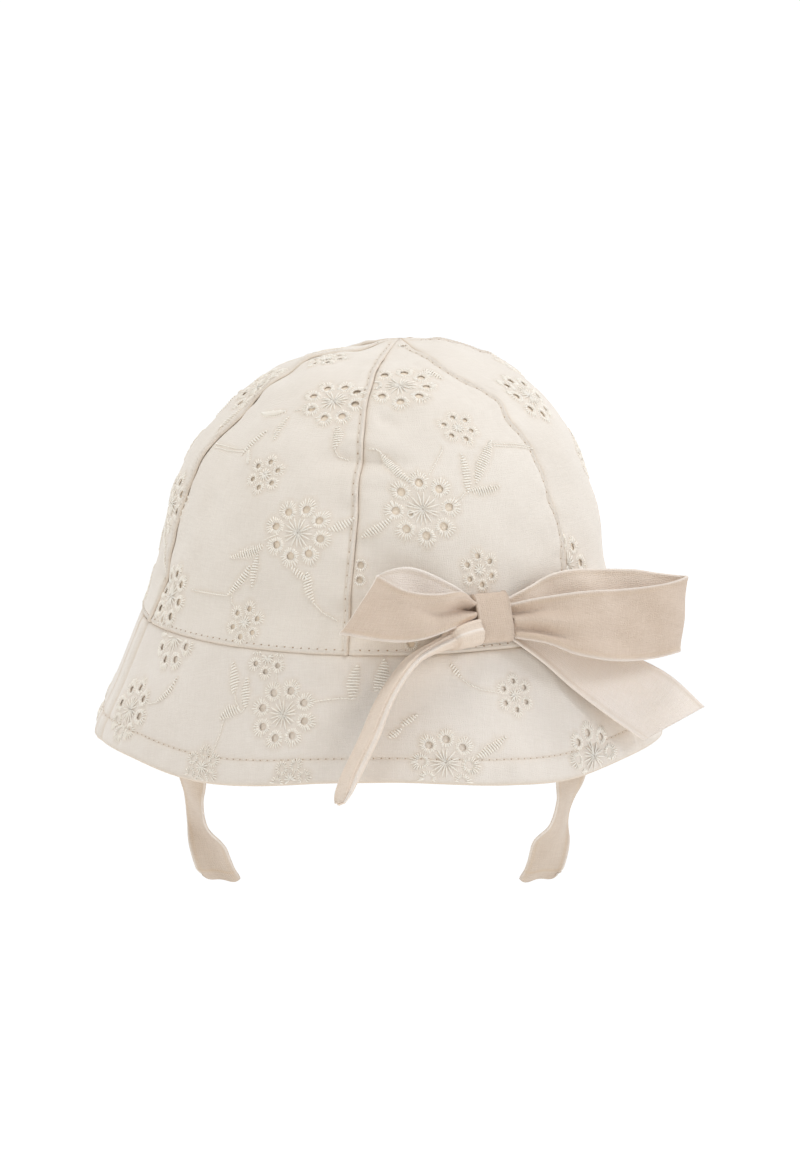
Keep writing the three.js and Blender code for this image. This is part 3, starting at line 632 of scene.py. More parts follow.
def closed_cloth(name, outer, inner, triangles, uv):
    """Closed cloth between two layers of points that share their triangles."""
    count = len(outer)
    border = border_edges(triangles)
    a, b = border[:, 0], border[:, 1]
    walls = np.concatenate([np.stack([b, a, a + count], -1), np.stack([b, a + count, b + count], -1)])
    faces = np.concatenate([triangles, triangles[:, ::-1] + count, walls])
    return make_mesh(name, np.concatenate([outer, inner]), faces, np.concatenate([uv, uv]))


def grid_triangles(index):
    """Triangles of a grid of point numbers, rows upwards and columns to the right."""
    a, b, c, d = index[:-1, :-1], index[:-1, 1:], index[1:, 1:], index[1:, :-1]
    return np.concatenate([np.stack(corners, -1).reshape(-1, 3) for corners in ((a, b, c), (a, c, d))])


def first_corners(thing):
    """Lowest point number of each triangle, which tells its layer and its row."""
    corners = np.empty(len(thing.data.loops), np.int32)
    thing.data.loops.foreach_get("vertex_index", corners)
    return corners.reshape(-1, 3).min(1)


def use_second_material(thing, chosen):
    thing.data.polygons.foreach_set("material_index", chosen.astype(np.int32))


class Hole:
    """Eyelet in a surface: a slightly oval hole of true radius about a flat place."""

    SIDES = 18
    OVAL = 0.09

    def __init__(self, surface, centre, radius, turn):
        self.centre = np.asarray(centre, float)
        self.scale = true_scale(surface, self.centre)
        self.radius = radius
        self.turn = turn

    def loop(self, grow):
        angles = np.linspace(0, 2 * np.pi, self.SIDES, endpoint=False)
        reach = self.radius * (1 + self.OVAL * np.cos(2 * (angles - self.turn))) + grow
        return self.centre + reach[:, None] * directions(angles) @ self.scale.T

    def distance(self, flat):
        """True distance of flat points from the middle of the hole."""
        return np.hypot(*((flat - self.centre) @ np.linalg.inv(self.scale).T).T)


# Distances of the rings of points round an eyelet and of the rows of points along an edge
EYELET_RINGS = (0.3, 0.75)
EDGE_OFFSETS = (0.4, 0.9, 1.6, 2.5)


def flat_mesh(surface, holes, step, offsets=EDGE_OFFSETS):
    """Points and triangles over a flat surface with its holes left open."""
    outline = surface.outline(step)
    loops = [outline] + [hole.loop(0) for hole in holes]
    low, high = outline.min(0), outline.max(0)
    rows = np.arange(low[1], high[1], step * math.sqrt(3) / 2)
    columns = np.arange(low[0], high[0], step)
    x, y = np.meshgrid(columns, rows)
    x[1::2] += step / 2
    lattice = np.stack([x.ravel(), y.ravel()], -1)
    lattice = lattice[surface.inside(lattice, offsets[-1] + 0.6 * step)]
    lattice = lattice[surface.open_ground(lattice)]
    edge = surface.edge_rows(offsets, step)
    edge = edge[surface.inside(edge, 0.8 * offsets[0])]
    free = np.concatenate([lattice, edge])
    for hole in holes:
        free = free[hole.distance(free) > hole.radius + EYELET_RINGS[-1] + 0.35]
    rings = [hole.loop(grow) for hole in holes for grow in EYELET_RINGS]
    points = np.concatenate(loops + rings + [free])
    edges = []
    start = 0
    for loop in loops:
        count = len(loop)
        edges += [(start + k, start + (k + 1) % count) for k in range(count)]
        start += count
    made = delaunay_2d_cdt([Vector(p) for p in points], edges, [], 0, 1e-5)
    flat = np.array([tuple(p) for p in made[0]])
    triangles = np.array(made[2])
    corners = flat[triangles]
    spread = np.cross(corners[:, 1] - corners[:, 0], corners[:, 2] - corners[:, 0])
    triangles[spread < 0] = triangles[spread < 0][:, ::-1]
    middle = corners.mean(1)
    keep = surface.inside(middle, 0) & (np.abs(spread) > 1e-6)
    for hole in holes:
        near = hole.distance(middle) < hole.radius * 0.95
        keep &= ~near
    return flat, triangles[keep]


# Pierced flowers: petals, radius of the ring they stand on, eyelet radius, stitches round an eyelet,
# how far the stitches reach from its middle towards the neighbours and away from the flower
FLOWERS = {
    "broad": (8, 8.0, 1.3, 22, 2.8, 4.0),
    "large": (8, 7.3, 1.2, 22, 2.6, 3.75),
    "small": (6, 4.3, 0.85, 16, 2.05, 2.7),
}
THREAD_WIDTH = 0.22
THREAD_RISE = 0.21
SATIN_WIDTH = 0.29
SATIN_STEP = 0.86
THREAD_SIDES = 6
THREAD_TIP = 0.4
# Radius of the dark lenses that paint shade in the needle holes, and how strong the painted shade between the
# stitches is
NEEDLE_HOLE = 0.18
SEWN_SHADE = 0.16

# Stitches round an eyelet start a little inside its edge, at this share of its radius
STITCH_START = 0.93

# Topstitching: width and rise of its thread and the gap between two stitches
TOPSTITCH_WIDTH = 0.14
TOPSTITCH_RISE = 0.12
TOPSTITCH_GAP = 0.8


class Sewing:
    """Threads sewn on a surface. Each is a short tapered tube half sunk in the cloth."""

    def __init__(self, surface, seed, hole_size=NEEDLE_HOLE, below=0.0):
        self.surface = surface
        self.hole_size = hole_size
        self.below = below
        self.sign = -1 if below else 1
        self.draws = np.random.default_rng(seed)
        self.batches = {}
        self.dots = []

    def add(self, flats, lifts, width, rise=THREAD_RISE, dots=()):
        """Stitches as flat points, one row of points for each stitch, with one lift for each point.

        Dots are the places along a stitch, by number, where the needle went through the cloth."""
        flats = np.asarray(flats, float)
        kept = self.surface.inside(flats, 0.35).all(1)
        if kept.any():
            flats = flats[kept]
            lifts = np.broadcast_to(lifts, flats.shape[:2])
            sizes = np.broadcast_to(np.array([width, rise]), (len(flats), 2))
            self.batches.setdefault(flats.shape[1], []).append((flats, lifts, sizes))
            self.dots += [flats[:, place] for place in dots]

    def shade(self, flat):
        """Painted shade of the cloth between the stitches, from 0 to 1."""
        threads = [batch[0].reshape(-1, 2) for batches in self.batches.values() for batch in batches]
        if not threads:
            return np.zeros(len(flat))
        tree = KDTree(sum(len(rows) for rows in threads))
        for number, (x, y) in enumerate(np.concatenate(threads)):
            tree.insert((x, y, 0), number)
        tree.balance()
        distance = np.array([tree.find((x, y, 0))[2] for x, y in flat])
        return 1 - smoothstep(distance, 0.3, 1.0)

    def flower(self, centre, size, turn):
        petals, ring, hole, count, near, far = FLOWERS[size]
        scale = true_scale(self.surface, centre)
        stitches = []
        for petal in range(petals):
            out = math.radians(turn) + 2 * np.pi * petal / petals
            middle = ring * directions(out)
            angles = 2 * np.pi * np.arange(count) / count + self.draws.normal(0, 0.035, count)
            away = np.clip(np.cos(angles - out), 0, 1) ** 0.8
            reach = near + (far - near) * away + self.draws.uniform(-0.32, 0.25, count) * hole / 1.3
            start = hole * STITCH_START
            for share in (0, 0.35, 0.7, 1):
                distance = start + (reach - start) * share
                stitches.append(middle + directions(angles) * distance[:, None])
        stitches = np.array(stitches).reshape(petals, 4, count, 2).transpose(0, 2, 1, 3).reshape(-1, 4, 2)
        flats = centre + stitches @ scale.T
        width = THREAD_WIDTH * (0.85 if size == "small" else 1)
        self.add(flats, [0.0, 0.2, 0.15, -0.12], width)
        self.spokes(centre, scale, ring - near, petals, turn)

    def spokes(self, centre, scale, reach, petals, turn):
        """Long stitches in the middle of a flower, between its petals."""
        count = 2 * petals
        angles = math.radians(turn) + 2 * np.pi * (np.arange(count) + 0.5) / count
        angles = angles + self.draws.normal(0, 0.06, count)
        long = reach * self.draws.uniform(0.9, 1.15, count)
        shares = (0.06, 0.4, 0.75, 1)
        stitches = np.stack([directions(angles) * (long * share)[:, None] for share in shares], 1)
        self.add(centre + stitches @ scale.T, [0.2, 0.24, 0.2, -0.1], THREAD_WIDTH)

    def eyelet(self, centre, radius):
        """Stitches round a single eyelet."""
        count = 18
        reach = radius * 2 + self.draws.uniform(-0.2, 0.2, count)
        ways = directions(2 * np.pi * np.arange(count) / count)
        stitches = np.stack([ways * radius * STITCH_START, ways * (radius * 1.5), ways * reach[:, None]], 1)
        flats = centre + stitches @ true_scale(self.surface, centre).T
        self.add(flats, [0.0, 0.2, -0.12], THREAD_WIDTH)

    def leaf(self, base, tip, width, bend):
        """Satin leaf: stitches across a curved middle line from its base to its tip."""
        scale = true_scale(self.surface, (base + tip) / 2)
        run = np.linalg.inv(scale) @ (tip - base)
        length = np.hypot(*run)
        along = run / length
        side = np.array([along[1], -along[0]])
        count = max(5, round(length / SATIN_STEP))
        t = (np.arange(count) + 0.5) / count
        middle = along * (t * length)[:, None] + side * (bend * np.sin(np.pi * t))[:, None]
        half = width / 2 * np.maximum(np.sin(np.pi * t**0.85) ** 0.75, 0.2)
        slant = along * 0.25
        stitches = []
        for share in (-1, -0.45, 0.45, 1):
            jag = self.draws.uniform(-0.3, 0.3, count) * abs(share) ** 3
            offset = share * half + np.sign(share) * jag
            stitches.append(middle + side * offset[:, None] + slant * share)
        flats = base + np.stack(stitches, 1) @ scale.T
        self.add(flats, [-0.14, 0.2, 0.2, -0.14], SATIN_WIDTH, 0.26)

    def stem(self, places):
        """Stem of short overlapping stitches along flat places."""
        points, run = along_path(places, 1.05)
        step = run * 0.62
        side = np.stack([run[:, 1], -run[:, 0]], -1)
        side = side / np.maximum(np.hypot(*side.T), 1e-6)[:, None] * 0.09
        flats = np.stack([points - step - side, points, points + step + side], 1)
        self.add(flats, [-0.05, 0.16, -0.05], 0.2)

    def topstitch(self, places, pitch=3.45):
        """Even stitches along flat places, each with a needle hole at its end."""
        points, run = along_path(places, pitch)
        half = run / pitch * ((pitch - TOPSTITCH_GAP) / 2)
        flats = np.stack([points - half, points - half * 0.45, points + half * 0.45, points + half], 1)
        self.add(flats, [-0.15, 0.1, 0.1, -0.15], TOPSTITCH_WIDTH, TOPSTITCH_RISE, dots=(3,))

    def mesh(self, name, material):
        """One mesh of all the threads so far, with the needle holes last."""
        parts = []
        for batches in self.batches.values():
            flats, lifts, sizes = (np.concatenate(rows) for rows in zip(*batches))
            centres = self.surface.point(flats, lifts * self.sign - self.below)
            parts.append(tubes(centres, normals_of(self.surface, flats) * self.sign, sizes))
        if self.dots:
            parts.append(self.needle_holes())
        starts = np.cumsum([0] + [len(part[0]) for part in parts[:-1]])
        faces = np.concatenate([part[1] + start for part, start in zip(parts, starts)])
        points, uv = (np.concatenate([part[k] for part in parts]) for k in (0, 2))
        thing = make_mesh(name, points, faces, uv)
        thing.data.materials.append(material)
        if self.dots:
            thing.data.materials.append(NEEDLE_SHADE)
            use_second_material(thing, np.arange(len(faces)) >= len(faces) - len(parts[-1][1]))
        return thing

    def needle_holes(self):
        """Small dark lenses where the needle went through the cloth: painted shade of the needle holes."""
        flats = np.concatenate(self.dots)
        centres = self.surface.point(flats, 0 * flats[:, 0] - self.below)
        normals = normals_of(self.surface, flats) * self.sign
        level = unit(np.cross((0.0, 0.0, 1.0), normals))
        climb = np.cross(normals, level)
        turns = 2 * np.pi * np.arange(THREAD_SIDES) / THREAD_SIDES
        ring = level[:, None] * np.cos(turns)[:, None] + climb[:, None] * np.sin(turns)[:, None]
        ring = centres[:, None] + self.hole_size * ring
        top = centres + 0.16 * normals
        bottom = centres - 0.1 * normals
        points = np.concatenate([ring + 0.05 * normals[:, None], top[:, None], bottom[:, None]], 1)
        index = np.arange(len(flats) * (THREAD_SIDES + 2)).reshape(len(flats), THREAD_SIDES + 2)
        rim, after = index[:, :THREAD_SIDES], np.roll(index[:, :THREAD_SIDES], -1, 1)
        top = np.repeat(index[:, -2:-1], THREAD_SIDES, 1)
        bottom = np.repeat(index[:, -1:], THREAD_SIDES, 1)
        faces = [
            np.stack([rim, after, top], -1).reshape(-1, 3),
            np.stack([after, rim, bottom], -1).reshape(-1, 3),
        ]
        return points.reshape(-1, 3), np.concatenate(faces), np.zeros((points.size // 3, 2))


def along_path(places, pitch):
    """Evenly spaced points along a line of flat places, with the step that leads on from each."""
    places = np.asarray(places, float)
    lengths = np.hypot(*np.diff(places, axis=0).T)
    run = np.concatenate([[0], np.cumsum(lengths)])
    count = max(2, round(run[-1] / pitch))
    at = (np.arange(count) + 0.5) / count * run[-1]
    near = np.stack([np.interp(at - 0.05, run, places[:, k]) for k in (0, 1)], -1)
    beyond = np.stack([np.interp(at + 0.05, run, places[:, k]) for k in (0, 1)], -1)
    step = beyond - near
    step = step / np.maximum(np.hypot(*step.T), 1e-9)[:, None] * run[-1] / count
    return (near + beyond) / 2, step


def tubes(centres, normals, sizes):
    """Tapered tubes along rows of centre points: points, triangles and places on the thread."""
    count, stations = centres.shape[:2]
    forward = unit(np.gradient(centres, axis=1))
    side = unit(np.cross(forward, normals))
    up = np.cross(side, forward)
    turns = 2 * np.pi * np.arange(THREAD_SIDES) / THREAD_SIDES
    taper = np.ones(stations)
    taper[[0, -1]] = THREAD_TIP
    wide = sizes[:, None, None, :1] * (taper[:, None, None] * np.cos(turns)[:, None])
    high = sizes[:, None, None, 1:] * (taper[:, None, None] * np.sin(turns)[:, None])
    points = centres[:, :, None] + side[:, :, None] * wide + up[:, :, None] * high
    index = np.arange(count * stations * THREAD_SIDES).reshape(count, stations, THREAD_SIDES)
    after = np.roll(index, -1, axis=2)
    a, b = index[:, :-1], after[:, :-1]
    c, d = after[:, 1:], index[:, 1:]
    faces = [np.stack([a, c, b], -1).reshape(-1, 3), np.stack([a, d, c], -1).reshape(-1, 3)]
    for k in range(1, THREAD_SIDES - 1):
        faces.append(np.stack([index[:, 0, 0], index[:, 0, k], index[:, 0, k + 1]], -1))
        faces.append(np.stack([index[:, -1, 0], index[:, -1, k + 1], index[:, -1, k]], -1))
    run = np.linalg.norm(np.diff(centres, axis=1, prepend=centres[:, :1]), axis=-1).cumsum(1)
    uv = np.stack(np.broadcast_arrays(run[:, :, None], turns / (2 * np.pi)), -1)
    return points.reshape(-1, 3), np.concatenate(faces), uv.reshape(-1, 2)


# Motifs of the crown. Flowers: azimuth, rise, size and turn in degrees.
FRONT_LEFT_FLOWERS = (
    (-58.5, 0.791, "small", 10),
    (-24.5, 0.632, "large", 12),
    (-37, 0.418, "small", 6),
    (-22.5, 0.286, "large", 12),
    (-63.5, 0.081, "large", 4),
    (-34, 0.061, "small", 8),
)
FRONT_RIGHT_FLOWERS = (
    (2.5, 0.694, "broad", 0),
    (23, 0.548, "small", -8),
    (10.5, 0.347, "broad", -4),
    (25.5, 0.195, "small", -4),
)

# Leaves: azimuth and rise of the base, of the tip, then width and bend in millimetres
FRONT_LEFT_LEAVES = (
    (-41.5, 0.587, -56, 0.574, 3.4, -0.8),
    (-39, 0.575, -39, 0.505, 2.6, 0.9),
    (-44.5, 0.528, -50, 0.455, 3.4, 0.5),
    (-47.5, 0.47, -44.5, 0.437, 2.2, 0),
    (-19, 0.56, -17.5, 0.497, 3.6, -0.4),
    (-14.5, 0.297, -7.6, 0.327, 3.4, 0.4),
    (-31.5, 0.25, -42, 0.212, 3.6, -0.5),
    (-33.2, 0.228, -34, 0.148, 3, 0.8),
    (-35.5, 0.2, -41, 0.122, 3, -0.9),
    (-23, 0.205, -18.5, 0.178, 2.4, 0.4),
    (-19, 0.195, -16.5, 0.122, 3.2, 0.5),
)
FRONT_RIGHT_LEAVES = (
    (-2.5, 0.49, 7, 0.412, 3.4, 0.9),
    (-5.5, 0.281, 3, 0.333, 3.2, 0.5),
    (23.2, 0.38, 22.5, 0.48, 3.4, 0.4),
    (26, 0.402, 34, 0.506, 4.2, -0.8),
    (23.5, 0.388, 33.5, 0.392, 3.6, 0.9),
    (16, 0.765, 25, 0.716, 3, -0.4),
)

# Stems: places of azimuth and rise
FRONT_LEFT_STEMS = (
    ((-70, 0.461), (-60, 0.467), (-48.5, 0.474)),
    ((-70, 0.452), (-60, 0.458), (-48.5, 0.468)),
    ((-17.5, 0.497), (-16, 0.483), (-12.5, 0.474)),
    ((-38, 0.592), (-34, 0.6), (-30.5, 0.61)),
    ((-31.5, 0.262), (-29.5, 0.272), (-27.5, 0.28)),
    ((-16.5, 0.122), (-14, 0.1), (-10, 0.081)),
    ((-53.5, 0.115), (-47, 0.118), (-41, 0.12)),
    ((-39.6, 0.12), (-39.4, 0.106), (-38, 0.096)),
)
FRONT_RIGHT_STEMS = (
    ((-6.6, 0.501), (-4, 0.498), (-2, 0.49)),
    ((34, 0.498), (44, 0.49), (53, 0.475)),
    ((34, 0.491), (44, 0.483), (53, 0.469)),
    ((22.5, 0.385), (21, 0.37), (19, 0.362)),
    ((12, 0.425), (13, 0.44), (17, 0.5)),
)

# Flowers and leaves that a seam cuts: single eyelets as azimuth, rise, radius
FRONT_LEFT_EYELETS = ((-71.5, 0.31, 0.85), (-71.5, 0.275, 0.8))
FRONT_RIGHT_EYELETS = (
    (-5.2, 0.214, 1.05),
    (-5.2, 0.178, 1.05),
    (9, 0.93, 1.0),
    (7.5, 0.029, 1.2),
    (7.4, 0.337, 0.7),
)
RIGHT_FLOWERS = (
    (71.5, 0.617, "large", 10),
    (57.5, 0.17, "large", 4),
    (86, 0.4, "small", 0),
    (97, 0.7, "small", 12),
)
FRONT_LEFT = (FRONT_LEFT_FLOWERS, FRONT_LEFT_LEAVES, FRONT_LEFT_STEMS, FRONT_LEFT_EYELETS)
FRONT_RIGHT = (FRONT_RIGHT_FLOWERS, FRONT_RIGHT_LEAVES, FRONT_RIGHT_STEMS, FRONT_RIGHT_EYELETS)

# Motifs of the brim, by azimuth and fall
BRIM_FLOWERS = (
    (-64, 0.667, "large", 6),
    (-20.5, 0.465, "large", 10),
    (13, 0.838, "large", 8),
    (48, 0.889, "large", 0),
    (30.5, 0.343, "small", 4),
    (-37.5, 0.89, "small", 0),
    (-17, 0.96, "small", 12),
    (-26, 0.05, "small", 0),
    (-55.5, 0.03, "large", 12),
    (68, 0.25, "small", 0),
)
BRIM_LEAVES = (
    (-33, 0.335, -35, 0.11, 3.8, 0.3),
    (-29.6, 0.43, -30.5, 0.21, 3.2, -0.3),
    (-31, 0.44, -35.5, 0.53, 4.6, 0.6),
    (-5.5, 0.35, -4.6, 0.07, 4.4, -0.6),
    (-0.6, 0.28, 1.4, 0.02, 4.4, 0.6),
    (-55, 0.54, -50.5, 0.3, 2.6, 1.2),
    (19.5, 0.79, 26.5, 0.64, 3.6, 0.3),
    (2, 0.65, 4.6, 0.57, 2.6, 0),
    (4.6, 0.55, 8, 0.46, 2.6, 0),
    (16.2, 0.08, 18.3, 0.19, 2.2, 0),
    (59, 0.6, 64, 0.42, 3.4, 0.5),
    (70, 0.62, 74, 0.8, 3.4, 0.5),
)
BRIM_STEMS = (
    ((-33, 0.335), (-32, 0.4), (-30.6, 0.46)),
    ((-29.6, 0.43), (-30, 0.45), (-30.6, 0.47)),
    ((-34.4, 0.53), (-34.8, 0.65), (-35.6, 0.79)),
    ((-23.5, 0.13), (-23.2, 0.18), (-23, 0.24)),
    ((-14, 0.366), (-11, 0.35), (-8, 0.335), (-6, 0.34)),
    ((18.4, 0.2), (20, 0.24), (22.5, 0.285), (26.5, 0.315)),
    ((-58, 0.57), (-56.5, 0.56), (-55, 0.54)),
)


def holes_of(surface, flowers, eyelets, margin):
    """Eyelets of whole flowers and single ones, where they lie clear of the edges."""
    holes = []
    for azimuth, share, size, turn in flowers:
        petals, ring, radius = FLOWERS[size][:3]
        centre = surface.flat(azimuth, share)
        scale = true_scale(surface, centre)
        for petal in range(petals):
            out = math.radians(turn) + 2 * np.pi * petal / petals
            place = centre + scale @ (ring * directions(out))
            if surface.inside(place, radius + margin):
                holes.append(Hole(surface, place, radius, out))
    for azimuth, share, radius in eyelets:
        place = surface.flat(azimuth, share)
        if surface.inside(place, radius + 0.3):
            holes.append(Hole(surface, place, radius, 0.0))
    return holes


def rim_lift(holes, flat):
    """Slight rise of the cloth round its eyelets, in millimetres."""
    lift = np.zeros(len(flat))
    for hole in holes:
        lift = np.maximum(lift, 0.16 * bump(hole.distance(flat), hole.radius + 0.5, 0.8))
    return lift


def sew_motifs(sewing, surface, flowers, leaves, stems, eyelets):
    """Sews the flowers, leaves, stems and single eyelets of a panel, placed by azimuth and rise or fall."""
    for azimuth, share, size, turn in flowers:
        sewing.flower(surface.flat(azimuth, share), size, turn)
    for from_azimuth, from_share, to_azimuth, to_share, width, bend in leaves:
        base = surface.flat(from_azimuth, from_share)
        sewing.leaf(base, surface.flat(to_azimuth, to_share), width, bend)
    for rows in stems:
        sewing.stem([surface.flat(azimuth, share) for azimuth, share in rows])
    for azimuth, share, radius in eyelets:
        sewing.eyelet(surface.flat(azimuth, share), radius)


def moved(motifs, turn, first_stem=0):
    """Flowers, leaves and later stems turned round the hat by some degrees, with no single eyelets."""
    flowers, leaves, stems = motifs[:3]
    return (
        tuple((row[0] + turn, *row[1:]) for row in flowers),
        tuple((row[0] + turn, row[1], row[2] + turn, *row[3:]) for row in leaves),
        tuple(tuple((azimuth + turn, share) for azimuth, share in rows) for rows in stems[first_stem:]),
        (),
    )


class Nodes:
    """Short way to build a material's node tree."""

    def __init__(self, name):
        self.material = bpy.data.materials.new(name)
        self.material.use_nodes = True
        self.tree = self.material.node_tree
        self.tree.nodes.clear()

    def add(self, kind, inputs=(), **settings):
        node = self.tree.nodes.new(kind)
        for key, value in settings.items():
            setattr(node, key, value)
        for key, value in dict(inputs).items():
            if isinstance(value, bpy.types.NodeSocket):
                self.tree.links.new(value, node.inputs[key])
            else:
                node.inputs[key].default_value = value
        return node

    def math(self, operation, first, second=0.0):
        return self.add("ShaderNodeMath", {0: first, 1: second}, operation=operation).outputs[0]

    def vector_math(self, operation, first, second):
        return self.add("ShaderNodeVectorMath", {0: first, 1: second}, operation=operation).outputs[0]

    def noise(self, place, scale, detail, output="Fac"):
        inputs = {"Vector": place, "Scale": scale, "Detail": detail}
        return self.add("ShaderNodeTexNoise", inputs).outputs[output]

    def total(self, *terms):
        """Sum of sockets, each given with its weight."""
        weighted = [self.math("MULTIPLY", socket, weight) for socket, weight in terms]
        found = weighted[0]
        for term in weighted[1:]:
            found = self.math("ADD", found, term)
        return found

    def blend(self, share, start, end):
        """Colour that goes from one to another as a share goes from 0 to 1."""
        return self.add("ShaderNodeMix", {0: share, 6: start, 7: end}, data_type="RGBA").outputs[2]

    def bump(self, height, strength, distance, **inputs):
        inputs.update(Height=height, Strength=strength, Distance=distance)
        return self.add("ShaderNodeBump", inputs).outputs[0]

    def finish(self, settings):
        """The material, ended with a principled shader of these settings."""
        shader = self.add("ShaderNodeBsdfPrincipled", settings)
        self.add("ShaderNodeOutputMaterial", {"Surface": shader.outputs[0]})
        return self.material


def srgb(red, green, blue):
    """Linear colour from 0 to 255 screen values."""
    values = [value / 255 for value in (red, green, blue)]
    return tuple(v / 12.92 if v <= 0.04045 else ((v + 0.055) / 1.055) ** 2.4 for v in values) + (1,)


# Painted shade for seams and between stitches, and painted highlight for the folded edges of ribbons and ties
# and the ridge of the folded tail
SHADE = (214, 190, 160)
EDGE_HIGHLIGHT = (255, 250, 243)


# Pitch of the threads in millimetres: crown and brim, ribbon, chin ties
WEAVE = 0.55
RIBBON_WEAVE = 0.62
TIE_WEAVE = 0.6


def cotton(name, light, dark, weave=WEAVE, weave_bump=0.5):
    """Plain-weave cotton, whose threads lie on the mesh's own cloth map in millimetres."""
    nodes = Nodes(name)
    uv = nodes.add("ShaderNodeUVMap", uv_map="cloth").outputs[0]
    drift = nodes.vector_math("MULTIPLY", nodes.noise(uv, 0.55, 2.0, "Color"), (1.6, 1.6, 0))
    parts = nodes.add("ShaderNodeSeparateXYZ", {0: nodes.vector_math("ADD", uv, drift)})
    turns = 2 * math.pi / weave
    warp, weft = (nodes.math("SINE", nodes.math("MULTIPLY", parts.outputs[k], turns)) for k in (0, 1))
    grid = nodes.math("ADD", warp, weft)
    slubs = nodes.noise(nodes.vector_math("MULTIPLY", uv, (0.25, 2.2, 1)), 0.8, 3.0)
    cross = nodes.noise(nodes.vector_math("MULTIPLY", uv, (2.2, 0.25, 1)), 0.8, 3.0)
    place = nodes.add("ShaderNodeTexCoord").outputs["Object"]
    cloud = nodes.noise(place, 45.0, 3.0)
    fine = nodes.noise(place, 900.0, 2.0)
    mixed = nodes.total((slubs, 0.3), (cross, 0.3), (cloud, 0.4), (grid, 0.03))
    tone = nodes.add("ShaderNodeMapRange", {"Value": mixed, "From Min": 0.36, "From Max": 0.64}).outputs[0]
    colour = nodes.blend(tone, srgb(*dark), srgb(*light))
    # Mixes in the painted shade of the layer "sewn" and the painted highlight of the layer "edge"
    for layer_name, tint in (("sewn", SHADE), ("edge", EDGE_HIGHLIGHT)):
        share = nodes.add("ShaderNodeAttribute", attribute_name=layer_name).outputs["Fac"]
        colour = nodes.blend(share, colour, srgb(*tint))
    threads = nodes.total((grid, 0.35), (fine, 0.5), (nodes.math("ADD", slubs, cross), 0.6))
    woven = nodes.bump(threads, weave_bump, 0.0001)
    settings = {
        "Base Color": colour,
        "Roughness": 0.88,
        "Specular IOR Level": 0.25,
        "Sheen Weight": 0.25,
        "Sheen Roughness": 0.5,
        "Normal": nodes.bump(nodes.noise(place, 120.0, 4.0), 0.25, 0.0006, Normal=woven),
    }
    return nodes.finish(settings)


def floss(name, light, dark):
    """Soft embroidery thread, twisted along its length."""
    nodes = Nodes(name)
    uv = nodes.add("ShaderNodeUVMap", uv_map="cloth").outputs[0]
    parts = nodes.add("ShaderNodeSeparateXYZ", {0: uv})
    twist = nodes.math("SINE", nodes.total((parts.outputs[0], 7.0), (parts.outputs[1], 12.6)))
    place = nodes.add("ShaderNodeTexCoord").outputs["Object"]
    tone = nodes.total((twist, 0.18), (nodes.noise(place, 160.0, 2.0), 1.0))
    settings = {
        "Base Color": nodes.blend(tone, srgb(*dark), srgb(*light)),
        "Roughness": 0.6,
        "Specular IOR Level": 0.35,
        "Sheen Weight": 0.2,
        "Sheen Roughness": 0.4,
        "Normal": nodes.bump(twist, 0.3, 0.0001),
    }
    return nodes.finish(settings)


CROWN_CLOTH = cotton("crown_cotton", (242, 233, 221), (234, 224, 211))
# The lining's outer face: a lighter copy of the cotton, painted light in the eyelets where it shows
LINING_CLOTH_PAINTED_LIGHT = cotton("lining_cotton", (254, 240, 220), (249, 232, 210))
BRIM_CLOTH = cotton("brim_cotton", (242, 233, 222), (234, 224, 212))
FACING_CLOTH = cotton("facing_cotton", (252, 240, 225), (246, 232, 215))
# Faces towards the head: a darker copy of the cotton, painted shade against the light from below
INSIDE_CLOTH_PAINTED_SHADE = cotton("inside_cotton_painted_shade", (238, 226, 210), (229, 216, 199))
RIBBON_CLOTH = cotton("ribbon_cotton", (224, 204, 185), (212, 190, 169), RIBBON_WEAVE, 0.8)
# Lighter copies of the ribbon's cloth for its rear layers and tails: painted light in its shaded parts
RIBBON_CLOTH_PAINTED_LIGHT = cotton("ribbon_cotton_painted_light", (250, 238, 226), (243, 229, 214), RIBBON_WEAVE, 0.8)
RIBBON_CLOTH_PAINTED_HALF_LIGHT = cotton("ribbon_cotton_painted_half_light", (241, 224, 206), (232, 213, 194), RIBBON_WEAVE, 0.8)
TIE_CLOTH = cotton("tie_cotton", (221, 206, 190), (212, 195, 178), TIE_WEAVE)
FLOSS = floss("embroidery_floss", (255, 250, 240), (252, 244, 231))
SEAM_THREAD = floss("seam_thread", (247, 239, 228), (238, 227, 213))
# Dark lenses: painted shade of the needle holes
NEEDLE_SHADE = floss("needle_shade", (192, 166, 138), (176, 150, 122))


def settle(thing, nodes=()):
    """Puts a finished piece on the hat: the body that it rides on and what it stands for."""
    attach(thing, "root")
    if nodes:
        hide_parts(*nodes)


# Radius of the needle holes along the seams of the crown and along the hem
CROWN_NEEDLE_HOLE = 0.32
HEM_NEEDLE_HOLE = 0.24


def seam_stitches(sewing, panel):
    """Topstitching along a panel's right seam and its base."""
    rows = np.linspace(3, panel.top - 6, 80)
    sewing.topstitch(np.stack([panel.half_width(rows) - TOPSTITCH, rows], -1))
    half = panel.half_width(BASE_TOPSTITCH) - 1.2
    base = np.linspace(-half, half, 40)
    sewing.topstitch(np.stack([base, 0 * base + BASE_TOPSTITCH], -1), 2.7)


panel_motifs = {
    "front_left": FRONT_LEFT,
    "front_right": FRONT_RIGHT,
    "right": (RIGHT_FLOWERS, moved(((), FRONT_RIGHT_LEAVES[2:5], ()), 68)[1], (), ()),
    "back_right": moved(FRONT_LEFT, 182, 2),
    "back_left": moved(FRONT_RIGHT, 180, 3),
    "left": moved(FRONT_LEFT, 302, 2),
}

